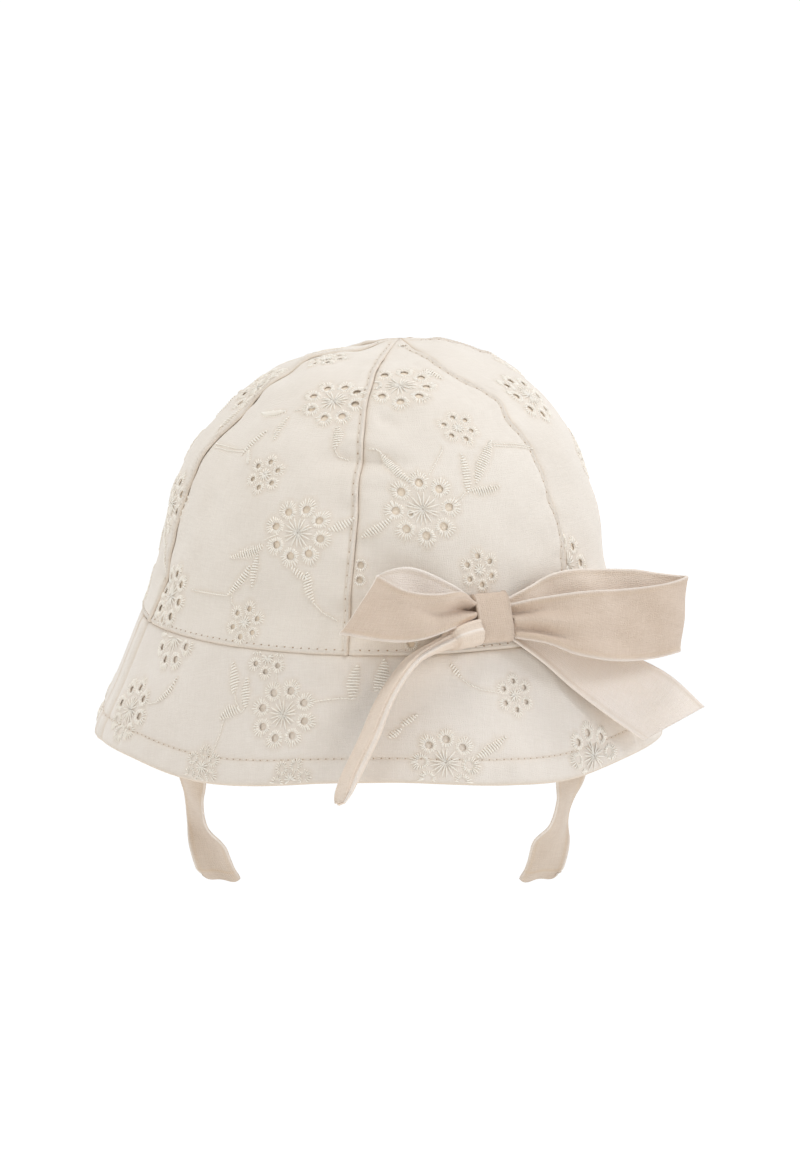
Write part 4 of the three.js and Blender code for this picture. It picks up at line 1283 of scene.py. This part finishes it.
for index, name in enumerate(PANEL_NAMES):
    panel = CrownPanel(index)
    motifs = panel_motifs[name]
    holes = holes_of(panel, motifs[0], motifs[3], 1.1)
    flat, triangles = flat_mesh(panel, holes, PANEL_STEP)
    lift = rim_lift(holes, flat)
    outer = panel.point(flat, lift)
    inner = panel.point(flat, lift - PANEL_THICK)
    cloth = closed_cloth(f"cloth_{name}", outer, inner, triangles, flat)
    cloth.data.materials.append(CROWN_CLOTH)
    settle(cloth, [f"crown_panel_{name}"])
    sewing = Sewing(panel, 100 + index)
    sew_motifs(sewing, panel, *motifs)
    settle(sewing.mesh(f"embroidery_{name}", FLOSS))
    # Painted shade in the seams and between the stitches
    set_shade(cloth, np.maximum(panel.shade(flat), SEWN_SHADE * sewing.shade(flat)))
    seams = Sewing(panel, 200 + index, CROWN_NEEDLE_HOLE)
    seam_stitches(seams, panel)
    settle(seams.mesh(f"stitching_{name}", SEAM_THREAD))


def ring_cloth(name, outer, inner, uv, closed):
    """Closed cloth from two grids of points, rows upwards and columns to the right seen from outside."""
    rows, columns = outer.shape[:2]
    index = np.arange(rows * columns).reshape(rows, columns)
    if closed:
        index = np.concatenate([index, index[:, :1]], 1)
    triangles = grid_triangles(index)
    return closed_cloth(name, outer.reshape(-1, 3), inner.reshape(-1, 3), triangles, uv.reshape(-1, 2))


def give_inside_painted_shade(thing):
    """Gives the layer of a closed cloth that faces the head a darker copy of its cotton: painted shade against
    the light from below.
    """
    thing.data.materials.append(INSIDE_CLOTH_PAINTED_SHADE)
    use_second_material(thing, first_corners(thing) >= len(thing.data.vertices) // 2)


# Lining of the crown: one soft dome in six gores under the panels. Its flat size is its length round the
# head in metres, and its gores fill a share of that rectangle.
LINING_ROWS = 56
LINING_COLUMNS = 26
lining_rises = np.linspace(0, 1 - 0.2 / CROWN_CLIMB, LINING_ROWS)
lining_layers = [[], []]
lining_uv = []
for index in range(len(SEAMS)):
    panel = CrownPanel(index)
    across = np.linspace(0, 1, LINING_COLUMNS, endpoint=False)
    rise, share = np.meshgrid(lining_rises, across, indexing="ij")
    flat = np.stack([(share - 0.5) * 2 * panel.half_width(rise * CROWN_CLIMB), rise * CROWN_CLIMB], -1)
    angle = panel.place(flat)[0]
    swell = np.sin(np.pi * share)
    smooth = crown_point(angle, rise, swell, 0 * rise)
    seam_ridge = 0.3 * bump(np.minimum(share, 1 - share), 0, 0.02) * smoothstep(1 - rise, 0.02, 0.1)
    soft = panel.soft_relief(flat, angle, rise, smooth)
    base_tuck = BASE_TUCK * np.exp(-rise * CROWN_CLIMB / 1.5)
    for layer, depth in zip(lining_layers, (LINING_DEPTH, LINING_DEPTH + LINING_THICK)):
        layer.append(crown_point(angle, rise, swell, soft - depth - seam_ridge - base_tuck))
    lining_uv.append(np.stack([angle * HEAD_WIDTH / 2, rise * CROWN_CLIMB], -1))
lining = ring_cloth(
    "cloth_lining",
    np.concatenate(lining_layers[0], 1),
    np.concatenate(lining_layers[1], 1),
    np.concatenate(lining_uv, 1),
    True,
)
# Outer face: lighter copy of the cotton, painted light; inner face: painted shade
lining.data.materials.append(LINING_CLOTH_PAINTED_LIGHT)
give_inside_painted_shade(lining)
settle(lining, ["crown_lining"])


def hem_roll(down):
    """How far the cloth has turned in near the very edge of the hem, from 0 to 1."""
    share = np.clip((HEM_ROLL - (BRIM_SLANT - down)) / HEM_ROLL, 0, 1)
    return 1 - np.sqrt(1 - share**2)


# Distances of the rows of points along the edges of the brim
HEM_OFFSETS = (0.08, 0.3, 0.65, 1.1, 1.8, 2.7)

# The back of the brim has some of the front's motifs twice, turned by these degrees
BRIM_TURNS = (160, 252)
BRIM_REPEAT = (BRIM_FLOWERS[:3] + BRIM_FLOWERS[5:7], BRIM_LEAVES[:6] + BRIM_LEAVES[7:9], BRIM_STEMS[:5])
brim_repeats = [moved(BRIM_REPEAT, turn) for turn in BRIM_TURNS]
brim_pieces = {
    "front": (0, SIDE_SEAM, (BRIM_FLOWERS, BRIM_LEAVES, BRIM_STEMS, ())),
    "back": (180, 180 - SIDE_SEAM, [one + other for one, other in zip(*brim_repeats)]),
}
for name, (middle, half, motifs) in brim_pieces.items():
    brim = Brim(middle, half)
    last_fall = 1 - (HEM_TOPSTITCH + 1) / BRIM_SLANT
    holes = [hole for hole in holes_of(brim, motifs[0], (), 1.6) if brim.place(hole.centre)[1] < last_fall]
    flat, triangles = flat_mesh(brim, holes, BRIM_STEP, HEM_OFFSETS)
    down = brim.place(flat)[1] * BRIM_SLANT
    roll = hem_roll(down)
    lift = rim_lift(holes, flat) - HEM_EDGE * roll
    outer = brim.point(flat, lift)
    inner = brim.point(flat, lift - BRIM_THICK * (1 - 0.85 * roll))
    cloth = closed_cloth(f"cloth_brim_{name}", outer, inner, triangles, flat)
    cloth.data.materials.append(BRIM_CLOTH)
    settle(cloth, [f"brim_{name}"])
    sewing = Sewing(brim, 300 + len(name))
    sew_motifs(sewing, brim, *motifs)
    settle(sewing.mesh(f"embroidery_brim_{name}", FLOSS))
    # Painted shade in the seams, at the hem and between the stitches
    set_shade(cloth, np.maximum(brim.shade(flat), SEWN_SHADE * sewing.shade(flat)))
    seams = Sewing(brim, 310 + len(name), HEM_NEEDLE_HOLE)
    seams.topstitch(brim.row(BRIM_SLANT - HEM_TOPSTITCH, 0.5, 2.0), 2.4)
    settle(seams.mesh(f"stitching_brim_{name}", SEAM_THREAD))


class Facing(Brim):
    """Under layer of the brim, whose hem puffs downwards."""

    def relief(self, angle, fall, points):
        up = (1 - fall) * BRIM_SLANT
        puff = 0.2 * np.sin(np.pi * np.clip(up / HEM_TOPSTITCH, 0, 1)) ** 0.7
        groove = 0.08 * bump(up, HEM_TOPSTITCH, 0.7)
        return self.soft_relief(angle, fall, points) - puff + groove


facing = Facing(0, 180)
flat, triangles = flat_mesh(facing, [], FACING_STEP, HEM_OFFSETS)
down = facing.place(flat)[1] * BRIM_SLANT
roll = hem_roll(down)
upper = facing.point(flat, -FACING_DEPTH - 0.03 * roll)
lower = facing.point(flat, -FACING_DEPTH - FACING_THICK + (FACING_THICK - 0.12) * roll)
cloth = closed_cloth("cloth_facing", upper, lower, triangles, flat)
cloth.data.materials.append(FACING_CLOTH)
give_inside_painted_shade(cloth)
settle(cloth, ["brim_facing"])
seams = Sewing(facing, 320, below=FACING_DEPTH + FACING_THICK)
seams.topstitch(facing.row(BRIM_SLANT - HEM_TOPSTITCH, 0.5, 2.0), 3.0)
settle(seams.mesh("stitching_facing", SEAM_THREAD))


# Bow sizes in millimetres, as in the part's source
BOW_AZIMUTH = 26
BOW_RISE = 0.076
RIBBON_WIDTH = 24
LOOP_BULGE = 10
LEFT_LOOP = 42.3
RIGHT_LOOP = 67.2
LEFT_TAIL_REACH = 50.3
LEFT_TAIL_DROP = 49
TAIL_FOLD_WIDTH = 5
TAIL_FOLD_DEPTH = 9
RIGHT_TAIL_REACH = 69.5
RIGHT_TAIL_DROP = 40.3
KNOT_WIDTH = 11.4
KNOT_HEIGHT = 14.4
KNOT_DEPTH = 6.4
KNOT_SIDE = KNOT_WIDTH / 2 + 0.3
RIBBON_THICK = 0.55
RIBBON_EDGE = 0.4

# Chin tie sizes in millimetres
TIE_AZIMUTH = 70
TIE_WIDTH = 12
TIE_LENGTH = 80
TIE_SWAY = 17
TIE_DEPTH = 4.1
TIE_THICK = 0.5
TIE_EDGE = 0.35
TIE_HEM = 3.2

# Loops from the knot out along the front layer, round the fold and back along the rear layer: place of
# the upper edge (share of the loop, share of the ribbon width), of the lower edge, and how far out
LEFT_LOOP_ROWS = (
    (0, 0.21, 0, 0.01, 0.5),
    (0.09, 0.325, 0.17, -0.09, 0.7),
    (0.33, 0.32, 0.5, -0.22, 0.9),
    (0.53, 0.425, 0.72, -0.18, 0.62),
    (0.615, 0.62, 0.97, -0.02, 0.15),
    (0.6, 0.69, 0.96, 0, -0.16),
    (0.434, 0.74, 0.7, -0.1, 0.08),
    (0.245, 0.62, 0.45, -0.12, 0.12),
    (0.06, 0.43, 0.2, -0.06, 0.18),
    (0, 0.33, 0, 0, 0.22),
)
RIGHT_LOOP_ROWS = (
    (0, 0.146, 0, -0.288, 0.5),
    (0.122, 0.17, 0.119, -0.404, 0.8),
    (0.299, 0.18, 0.247, -0.59, 1),
    (0.552, 0.184, 0.44, -0.708, 0.85),
    (0.808, 0.217, 0.7, -0.71, 0.4),
    (0.98, 0.313, 0.877, -0.64, -0.08),
    (0.985, 0.34, 0.88, -0.63, -0.38),
    (0.821, 0.43, 0.8, -0.58, -0.4),
    (0.607, 0.5, 0.6, -0.5, -0.15),
    (0.396, 0.52, 0.4, -0.45, 0.05),
    (0.257, 0.48, 0.26, -0.4, 0.15),
    (0.156, 0.375, 0.16, -0.3, 0.2),
    (0, 0.213, 0, -0.2, 0.22),
)

# Right tail: along, drop and out of the lower edge, then of the upper edge, as shares
RIGHT_TAIL_ROWS = (
    (0, 0.15, 0.08, 0, 0.01, 0.08),
    (0.1525, 0.355, 0.05, 0.23, 0.06, -0.1),
    (0.3, 0.583, -0.1, 0.46, 0.186, -0.5),
    (0.453, 0.79, -0.25, 0.65, 0.347, -0.65),
    (0.5625, 0.918, -0.4, 0.836, 0.533, -0.8),
    (0.634, 1, -0.5, 0.997, 0.79, -0.95),
)

# Left tail, folded lengthwise: along, drop, out and width of the fold, as shares
LEFT_TAIL_ROWS = (
    (0, 0.085, 0.5, 1.55),
    (0.05, 0.09, 0.52, 1.5),
    (0.1, 0.1, 0.53, 1.45),
    (0.15, 0.11, 0.5, 1.3),
    (0.175, 0.118, 0.32, 0.95),
    (0.25, 0.14, 0.28, 0.8),
    (0.33, 0.168, 0.26, 0.72),
    (0.41, 0.205, 0.25, 0.68),
    (0.509, 0.288, 0.23, 0.68),
    (0.638, 0.439, 0.2, 0.74),
    (0.757, 0.639, 0.1, 0.85),
    (0.907, 0.855, 0.02, 0.84),
    (1, 1, 0, 0.52),
)

# Section of the folded tail: places across and outwards, as shares of its half width and half depth
TAIL_SECTION = (
    (-1, -1),
    (-1, 0.3),
    (-0.72, 0.72),
    (-0.4, 0.86),
    (-0.1, 1.02),
    (0.2, 0.86),
    (0.6, 0.8),
    (0.92, 0.82),
    (1, 0.3),
    (1, -1),
)
# Painted highlight along the folded tail's ridge: share across, half width and strength
TAIL_RIDGE_HIGHLIGHT = (0.5, 0.5, 0.6)

# Chin tie: drop as a share of its length, sway towards the middle, turn of the ribbon in degrees
TIE_ROWS = (
    (0, 0, 70),
    (0.3, 0.2, 58),
    (0.58, 0.45, 42),
    (0.67, 0.51, 62),
    (0.766, 0.61, 58),
    (0.844, 0.76, 18),
    (0.916, 0.85, 2),
    (1, 1, 0),
)


def smooth_line(points, places):
    """Centripetal Catmull-Rom curve through points, read at places from 0 to 1."""
    last = len(points) - 1
    padded = np.concatenate([[2 * points[0] - points[1]], points, [2 * points[-1] - points[-2]]])
    at = np.asarray(places, float) * last
    i = np.minimum(np.floor(at).astype(int), last - 1)
    t = (at - i)[:, None]
    before, start, end, after = (padded[i + k] for k in range(4))
    first, middle, second = (
        np.maximum(np.linalg.norm(b - a, axis=1, keepdims=True), 1e-6) ** 0.5
        for a, b in ((before, start), (start, end), (end, after))
    )
    leave = (start - before) / first - (end - before) / (first + middle) + (end - start) / middle
    arrive = (end - start) / middle - (after - start) / (middle + second) + (after - end) / second
    leave, arrive = leave * middle, arrive * middle
    cubic = (2 * start - 2 * end + leave + arrive) * t**3
    square = (3 * end - 3 * start - 2 * leave - arrive) * t**2
    return cubic + square + leave * t + start


def bow_frame():
    """Seat of the knot on the crown and the bow's directions along, up the slope and outwards."""
    angle = math.radians(BOW_AZIMUTH)
    slope = crown_section(BOW_RISE)[2]
    out = outwards(angle, slope[1], -slope[0])
    along = unit(np.cross((0, 0, 1), out))
    low, high = seam_angle(1, BOW_RISE), seam_angle(2, BOW_RISE)
    swell = np.sin(np.pi * (angle - low) / (high - low))
    seat = crown_point(angle, BOW_RISE, swell, 0.0)
    return seat, along, np.cross(out, along), out


bow_seat, bow_along, bow_up, bow_out = bow_frame()


def bow_point(along, up, out):
    """Points from distances in millimetres along the bow, up the crown and outwards."""
    along, up, out = (np.asarray(value, float)[..., None] for value in (along, up, out))
    return bow_seat + along * bow_along + up * bow_up + out * bow_out


def grid_normals(grid):
    normal = np.cross(np.gradient(grid, axis=1), np.gradient(grid, axis=0))
    return normal / np.maximum(np.linalg.norm(normal, axis=-1, keepdims=True), 1e-9)


def between(low, high, shares):
    """Grid of points between two edges, one column for each share of the way across."""
    return low[:, None] + (high - low)[:, None] * shares[None, :, None]


def band(name, grid, materials, thick=RIBBON_THICK, edge=RIBBON_EDGE, hem=None, ridge=None, edge_highlight=0.4):
    """Cloth band about a grid of points, rows along it and columns across, with folded edges.

    Two materials share the band's length between them: the second, on the later half of the rows, is a lighter
    copy of the cloth, painted light.
    Hem is how far from the end its stitch line lies, which a line of painted shade marks. A ridge is the share
    across where it runs, its half width and how strong its painted highlight is, as its edges have one."""
    across = np.linalg.norm(np.diff(grid, axis=1, prepend=grid[:, :1]), axis=-1).cumsum(1)
    along = np.linalg.norm(np.diff(grid, axis=0, prepend=grid[:1]), axis=-1).cumsum(0)
    side = np.minimum(across, across[:, -1:] - across)
    half = thick / 2 + edge / 2 * bump(side, 0.55, 0.6) - thick * 0.35 * np.exp(-side / 0.12)
    normal = grid_normals(grid)
    uv = np.stack([across - across.mean(), along.mean(1, keepdims=True) + 0 * along], -1)
    thing = ring_cloth(name, grid + normal * half[..., None], grid - normal * half[..., None], uv, False)
    for material in materials:
        thing.data.materials.append(material)
    # Painted highlight on the folded edges and along the ridge
    painted_highlight = edge_highlight * (1 - smoothstep(side, 0.35, 0.8))
    if ridge:
        place, width, strength = ridge
        painted_highlight = np.maximum(painted_highlight, strength * bump(across, place * across[:, -1:], width))
    set_shade(thing, painted_highlight.ravel(), "edge")
    # Painted shade just inside the folded edges and along the hem's stitch line
    dark = 0.3 * bump(side, 1.5, 0.45)
    if hem:
        dark = np.maximum(dark, 0.55 * bump(along[-1:] - along, hem, 0.4))
    set_shade(thing, dark.ravel())
    if len(materials) > 1:
        row = first_corners(thing) % side.size // side.shape[1]
        use_second_material(thing, row >= len(grid) // 2)
    return thing, (float(across[:, -1].mean()) * MM, float(along[-1].mean()) * MM)


def edge_line(rows, along_column, up_column, out_column, size, sign, places):
    """One edge of a bow piece. Size is the length, height and bulge that the shares are taken of."""
    table = np.array(rows, float)
    along = sign * (KNOT_SIDE + table[:, along_column] * size[0])
    points = bow_point(along, table[:, up_column] * size[1], table[:, out_column] * size[2])
    return smooth_line(points, places)


LOOP_SAMPLES = 150
LOOP_ACROSS = 34
TAIL_SAMPLES = 90
TAIL_ACROSS = 32
FOLD_SAMPLES = 150
FOLD_ACROSS = 55


def ribbon_shares(count):
    """Shares across a ribbon, closer together at its folded edges."""
    return np.concatenate([[0, 0.012, 0.03], np.linspace(0.05, 0.95, count), [0.97, 0.988, 1]])


def loop_grid(rows, length, sign, front_pleats, rear_pleats):
    """Middle surface of a loop, gathered into pleats where it enters the knot.

    A pleat is its height, its place and width across, where it is highest along and its reach."""
    places = np.linspace(0, 1, LOOP_SAMPLES)
    size = (length, RIBBON_WIDTH, LOOP_BULGE)
    low = edge_line(rows, 2, 3, 4, size, sign, places)
    high = edge_line(rows, 0, 1, 4, size, sign, places)
    share = ribbon_shares(LOOP_ACROSS)
    grid = between(low, high, share)
    from_knot = np.maximum(np.abs((grid - bow_seat) @ bow_along) - KNOT_SIDE, 0)
    soft = waves(grid, 30, 3.3) + 0.35 * waves(grid, 13, 4.2)
    lift = soft * np.minimum(from_knot / 12, 1)
    for pleats, on_layer in ((front_pleats, places < 0.5), (rear_pleats, places >= 0.5)):
        for tall, middle, width, peak, reach in pleats:
            pleat = tall * bump(share[None], middle, width) * bump(from_knot, peak, reach)
            lift = lift + on_layer[:, None] * pleat
    return grid + lift[..., None] * bow_out


# Pleats of the loops' front layers and of their rear layers, as loop_grid takes them
LEFT_PLEATS = (
    ((2.3, 0.82, 0.11, 0, 12), (-2.7, 0.54, 0.13, 3, 9), (1.6, 0.2, 0.14, 0, 9), (-0.9, 0.62, 0.16, 16, 8)),
    ((0.8, 0.6, 0.2, 0, 9),),
)
RIGHT_PLEATS = (
    (
        (1.8, 0.5, 0.1, 0, 17),
        (-2.1, 0.74, 0.12, 2, 10),
        (-1.9, 0.27, 0.1, 9, 7),
        (1.2, 0.12, 0.1, 5, 9),
        (1.1, 0.55, 0.2, 21, 8),
    ),
    ((0.8, 0.4, 0.2, 0, 12),),
)
# The loops' rear layers take lighter copies of the ribbon's cloth: painted light
for name, side, rows, length, pleats, rear_painted_light in (
    ("left", -1, LEFT_LOOP_ROWS, LEFT_LOOP, LEFT_PLEATS, RIBBON_CLOTH_PAINTED_LIGHT),
    ("right", 1, RIGHT_LOOP_ROWS, RIGHT_LOOP, RIGHT_PLEATS, RIBBON_CLOTH_PAINTED_HALF_LIGHT),
):
    grid = loop_grid(rows, length, side, *pleats)
    loop, loop_size = band(f"ribbon_loop_{name}", grid, (RIBBON_CLOTH, rear_painted_light))
    settle(loop, [f"bow_loop_{name}"])

# Right tail, flat, with a slanted end and pleats that fade away from the knot
TAIL_PLEAT = 0.8
TAIL_PLEATS = 1.4
tail_places = np.linspace(0, 1, TAIL_SAMPLES)
tail_size = (RIGHT_TAIL_REACH, -RIGHT_TAIL_DROP, LOOP_BULGE)
tail_low = edge_line(RIGHT_TAIL_ROWS, 0, 1, 2, tail_size, 1, tail_places)
tail_high = edge_line(RIGHT_TAIL_ROWS, 3, 4, 5, tail_size, 1, tail_places)
tail_share = ribbon_shares(TAIL_ACROSS)
tail_grid = between(tail_low, tail_high, tail_share)
tail_pleats = np.cos(2 * np.pi * TAIL_PLEATS * tail_share)[None] * np.exp(-8 * tail_places)[:, None]
tail_wave = 0.5 * waves(tail_grid, 34, 5.1) + TAIL_PLEAT * tail_pleats
tail_grid = tail_grid + tail_wave[..., None] * bow_out
# The right tail takes the lightest copy of the ribbon's cloth, painted light where the loop shades it, and no
# painted highlight on its edges
right_tail, right_tail_size = band("ribbon_tail_right", tail_grid, (RIBBON_CLOTH_PAINTED_LIGHT,), edge_highlight=0)
settle(right_tail, ["bow_tail_right"])

# Left tail, folded lengthwise with its edges behind and a blunt tip, which takes up the last of its length
TIP_LENGTH = 0.045
fold_rows = np.array(LEFT_TAIL_ROWS, float)
fold_places = np.linspace(0, 1, FOLD_SAMPLES)
fold_points = bow_point(
    -KNOT_SIDE - fold_rows[:, 0] * LEFT_TAIL_REACH,
    -fold_rows[:, 1] * LEFT_TAIL_DROP,
    fold_rows[:, 2] * LOOP_BULGE,
)
fold_middle = smooth_line(fold_points, fold_places)
fold_side = unit(np.cross(np.gradient(fold_middle, axis=0), bow_out))
fold_width = np.interp(fold_places * (len(fold_rows) - 1), np.arange(len(fold_rows)), fold_rows[:, 3])
tip_share = np.clip((fold_places - 1 + TIP_LENGTH) / TIP_LENGTH, 0, 1)
fold_half = (fold_width * TAIL_FOLD_WIDTH - 1) / 2 * np.sqrt(1 - 0.75 * tip_share**2)
fold_depth = TAIL_FOLD_DEPTH / 2 * np.sqrt(1 - 0.6 * tip_share**2)
section_points = np.array([(across, out, 0) for across, out in TAIL_SECTION], float)
section = smooth_line(section_points, np.linspace(0, 1, FOLD_ACROSS))[None]
fold_across = fold_side[:, None] * (section[..., :1] * fold_half[:, None, None])
fold_out = bow_out * (section[..., 1:2] * fold_depth[:, None, None])
fold_grid = fold_middle[:, None] + fold_across + fold_out
# The left tail takes a lighter copy of the ribbon's cloth, painted light, and a painted highlight along its
# ridge
left_tail, left_tail_size = band("ribbon_tail_left", fold_grid, (RIBBON_CLOTH_PAINTED_HALF_LIGHT,), ridge=TAIL_RIDGE_HIGHLIGHT)
settle(left_tail, ["bow_tail_left"])

# Knot: a flat band wrapped round the gathered ribbon
KNOT_SQUARENESS = 0.6
knot_turns = np.linspace(np.pi, 3 * np.pi, 72, endpoint=False)
knot_sides = np.concatenate([[-0.5, -0.49, -0.465], np.linspace(-0.43, 0.43, 20), [0.465, 0.49, 0.5]])
turn, place = np.meshgrid(knot_turns, knot_sides, indexing="xy")
knot_up, knot_out = (np.sign(way) * np.abs(way) ** KNOT_SQUARENESS for way in (np.sin(turn), np.cos(turn)))
edge_roll = 1 + 0.05 * bump(np.abs(place), 0.47, 0.03) - 0.1 * smoothstep(np.abs(place), 0.485, 0.5)
second_edge = 1 + 0.035 * smoothstep(place, -0.4, -0.37)
size = edge_roll * second_edge * 0.99
lift = 0.3 + KNOT_DEPTH / 2
knot_outer = bow_point(
    place * KNOT_WIDTH, knot_up * size * KNOT_HEIGHT / 2, lift + knot_out * size * KNOT_DEPTH / 2
)
knot_inner = bow_point(
    place * KNOT_WIDTH * 0.97, knot_up * 0.8 * KNOT_HEIGHT / 2, lift + knot_out * 0.7 * KNOT_DEPTH / 2
)
knot_round = np.linalg.norm(np.diff(knot_outer, axis=1, prepend=knot_outer[:, :1]), axis=-1).cumsum(1)
knot_uv = np.stack([knot_round, place * KNOT_WIDTH], -1)
knot = ring_cloth("ribbon_knot", knot_outer[:, ::-1], knot_inner[:, ::-1], knot_uv[:, ::-1], True)
knot.data.materials.append(RIBBON_CLOTH)
settle(knot, ["bow_knot"])

# Chin ties
tie_places = np.linspace(0, 1, 120)
for name, side in (("left", -1), ("right", 1)):
    seat = brim_point(math.radians(side * TIE_AZIMUTH), 0.0, -TIE_DEPTH)
    rows = np.array(TIE_ROWS, float)
    edges = []
    for half in (-0.5, 0.5):
        turn = np.radians(rows[:, 2])
        points = np.stack(
            [
                seat[0] - side * rows[:, 1] * TIE_SWAY + side * half * TIE_WIDTH * np.cos(turn),
                seat[1] + half * TIE_WIDTH * np.sin(turn),
                seat[2] - rows[:, 0] * TIE_LENGTH,
            ],
            -1,
        )
        edges.append(smooth_line(points, tie_places))
    share = np.concatenate([[0, 0.03, 0.07], np.linspace(0.12, 0.88, 16), [0.93, 0.97, 1]])
    grid = between(*edges, share)
    end = smoothstep(tie_places, 0.9, 1)[:, None]
    corner = 1.3 * (np.abs(share - 0.5) * 2) ** 6
    grid[..., 2] += end * ((1.6 * share - 0.3 * np.sin(2 * np.pi * share * 1.5))[None] + corner)
    curl = 0.9 * np.cos(np.pi * (share - 0.5) * 2)[None] * np.sin(2.2 * np.pi * tie_places)[:, None]
    grid = grid + (curl + 0.3 * waves(grid, 18, 6.0))[..., None] * grid_normals(grid)
    tie, tie_size = band(f"ribbon_tie_{name}", grid, (TIE_CLOTH,), TIE_THICK, TIE_EDGE, TIE_HEM)
    settle(tie, [f"tie_{name}"])


# Wide pale floor, in millimetres, well below the hat, which is held up
FLOOR_LEVEL = -4000
FLOOR_REACH = 120000
FLOOR_CELLS = 12


def studio_floor():
    """Flat floor that reaches past the view on every side."""
    places = np.linspace(-FLOOR_REACH, FLOOR_REACH, FLOOR_CELLS + 1)
    x, y = np.meshgrid(places, places)
    points = np.stack([x, y, np.full_like(x, FLOOR_LEVEL)], -1)
    triangles = grid_triangles(np.arange(x.size).reshape(x.shape))
    return make_mesh("studio_floor", points.reshape(-1, 3), triangles)


floor = studio_floor()
paper = Nodes("studio_paper")
grain = paper.add("ShaderNodeTexNoise", {"Scale": 30.0, "Detail": 2.0}).outputs["Fac"]
paper_settings = {
    "Base Color": paper.blend(grain, (0.9, 0.9, 0.9, 1), (0.93, 0.93, 0.93, 1)),
    "Roughness": 0.9,
    "Specular IOR Level": 0.1,
    "Emission Color": (1, 1, 1, 1),
    "Emission Strength": 0.5,
}
floor.data.materials.append(paper.finish(paper_settings))


def area_light(name, place, target, size, power, colour=(1, 1, 1)):
    """Soft lamp of a size at a place in metres, turned to a target, with its power in watts."""
    data = bpy.data.lights.new(name, "AREA")
    data.shape = "RECTANGLE"
    data.size, data.size_y = size
    data.energy = power
    data.color = colour
    lamp = bpy.data.objects.new(name, data)
    lamp.location = place
    lamp.rotation_mode = "QUATERNION"
    lamp.rotation_quaternion = (Vector(place) - Vector(target)).to_track_quat("Z", "Y")
    bpy.context.scene.collection.objects.link(lamp)


area_light("key_right", (1.35, -0.55, 0.95), (0, 0, 0.02), (0.45, 0.45), 5.0, (0.92, 0.98, 1.1))
area_light("fill_left", (-1.3, -0.9, 0.5), (0, 0, 0), (0.8, 0.8), 1.2, (1.0, 0.97, 0.93))
area_light("top", (0.1, -0.1, 1.5), (0, 0, 0.05), (0.6, 0.6), 8.2)

bpy.context.scene.view_settings.view_transform = "Standard"
bpy.context.scene.view_settings.look = "None"

# The studio is bright all round at the level of the hat and high up behind it, and dimmer overhead. A fade
# is the axis that it follows and the places on it where the light is dim and where it is bright.
HORIZON_LIGHT = 1.0
OVERHEAD_LIGHT = 0.3
FADES = ((1, -0.25, 0.6), (2, 0.55, 0.1))
world = bpy.data.worlds.new("studio")
bpy.context.scene.world = world
world.use_nodes = True
sky = world.node_tree.nodes
way = sky.new("ShaderNodeTexCoord").outputs["Generated"]
parts = sky.new("ShaderNodeSeparateXYZ")
sky["Background"].inputs["Color"].default_value = (0.98, 0.99, 1, 1)
world.node_tree.links.new(way, parts.inputs[0])
brighter = sky.new("ShaderNodeMath")
brighter.operation = "MAXIMUM"
for number, (axis, dim, bright) in enumerate(FADES):
    fade = sky.new("ShaderNodeMapRange")
    fade.inputs["From Min"].default_value = dim
    fade.inputs["From Max"].default_value = bright
    fade.inputs["To Min"].default_value = OVERHEAD_LIGHT
    fade.inputs["To Max"].default_value = HORIZON_LIGHT
    world.node_tree.links.new(parts.outputs[axis], fade.inputs["Value"])
    world.node_tree.links.new(fade.outputs[0], brighter.inputs[number])
world.node_tree.links.new(brighter.outputs[0], sky["Background"].inputs["Strength"])

# Camera: the photograph's angle, distance and framing
CAMERA_RISE = math.radians(10)
CAMERA_DISTANCE = 1400
AIM_RIGHT = 6.219
AIM_UP = 8.396
PHOTO_HEIGHT = 1160
FOCAL_PIXELS = 4502.4
SENSOR = 36
NEAREST = 0.05
FARTHEST = 400
camera_data = bpy.data.cameras.new("photo_view")
camera_data.sensor_fit = "VERTICAL"
camera_data.sensor_height = SENSOR
camera_data.lens = SENSOR * FOCAL_PIXELS / PHOTO_HEIGHT
camera_data.clip_start = NEAREST
camera_data.clip_end = FARTHEST
camera = bpy.data.objects.new("photo_view", camera_data)
view_up = Vector((0, math.sin(CAMERA_RISE), math.cos(CAMERA_RISE)))
view_back = Vector((0, -math.cos(CAMERA_RISE), math.sin(CAMERA_RISE)))
camera.location = (Vector((AIM_RIGHT, 0, 0)) + view_up * AIM_UP + view_back * CAMERA_DISTANCE) * MM
camera.rotation_mode = "QUATERNION"
camera.rotation_quaternion = view_back.to_track_quat("Z", "Y")
bpy.context.scene.collection.objects.link(camera)
bpy.context.scene.camera = camera
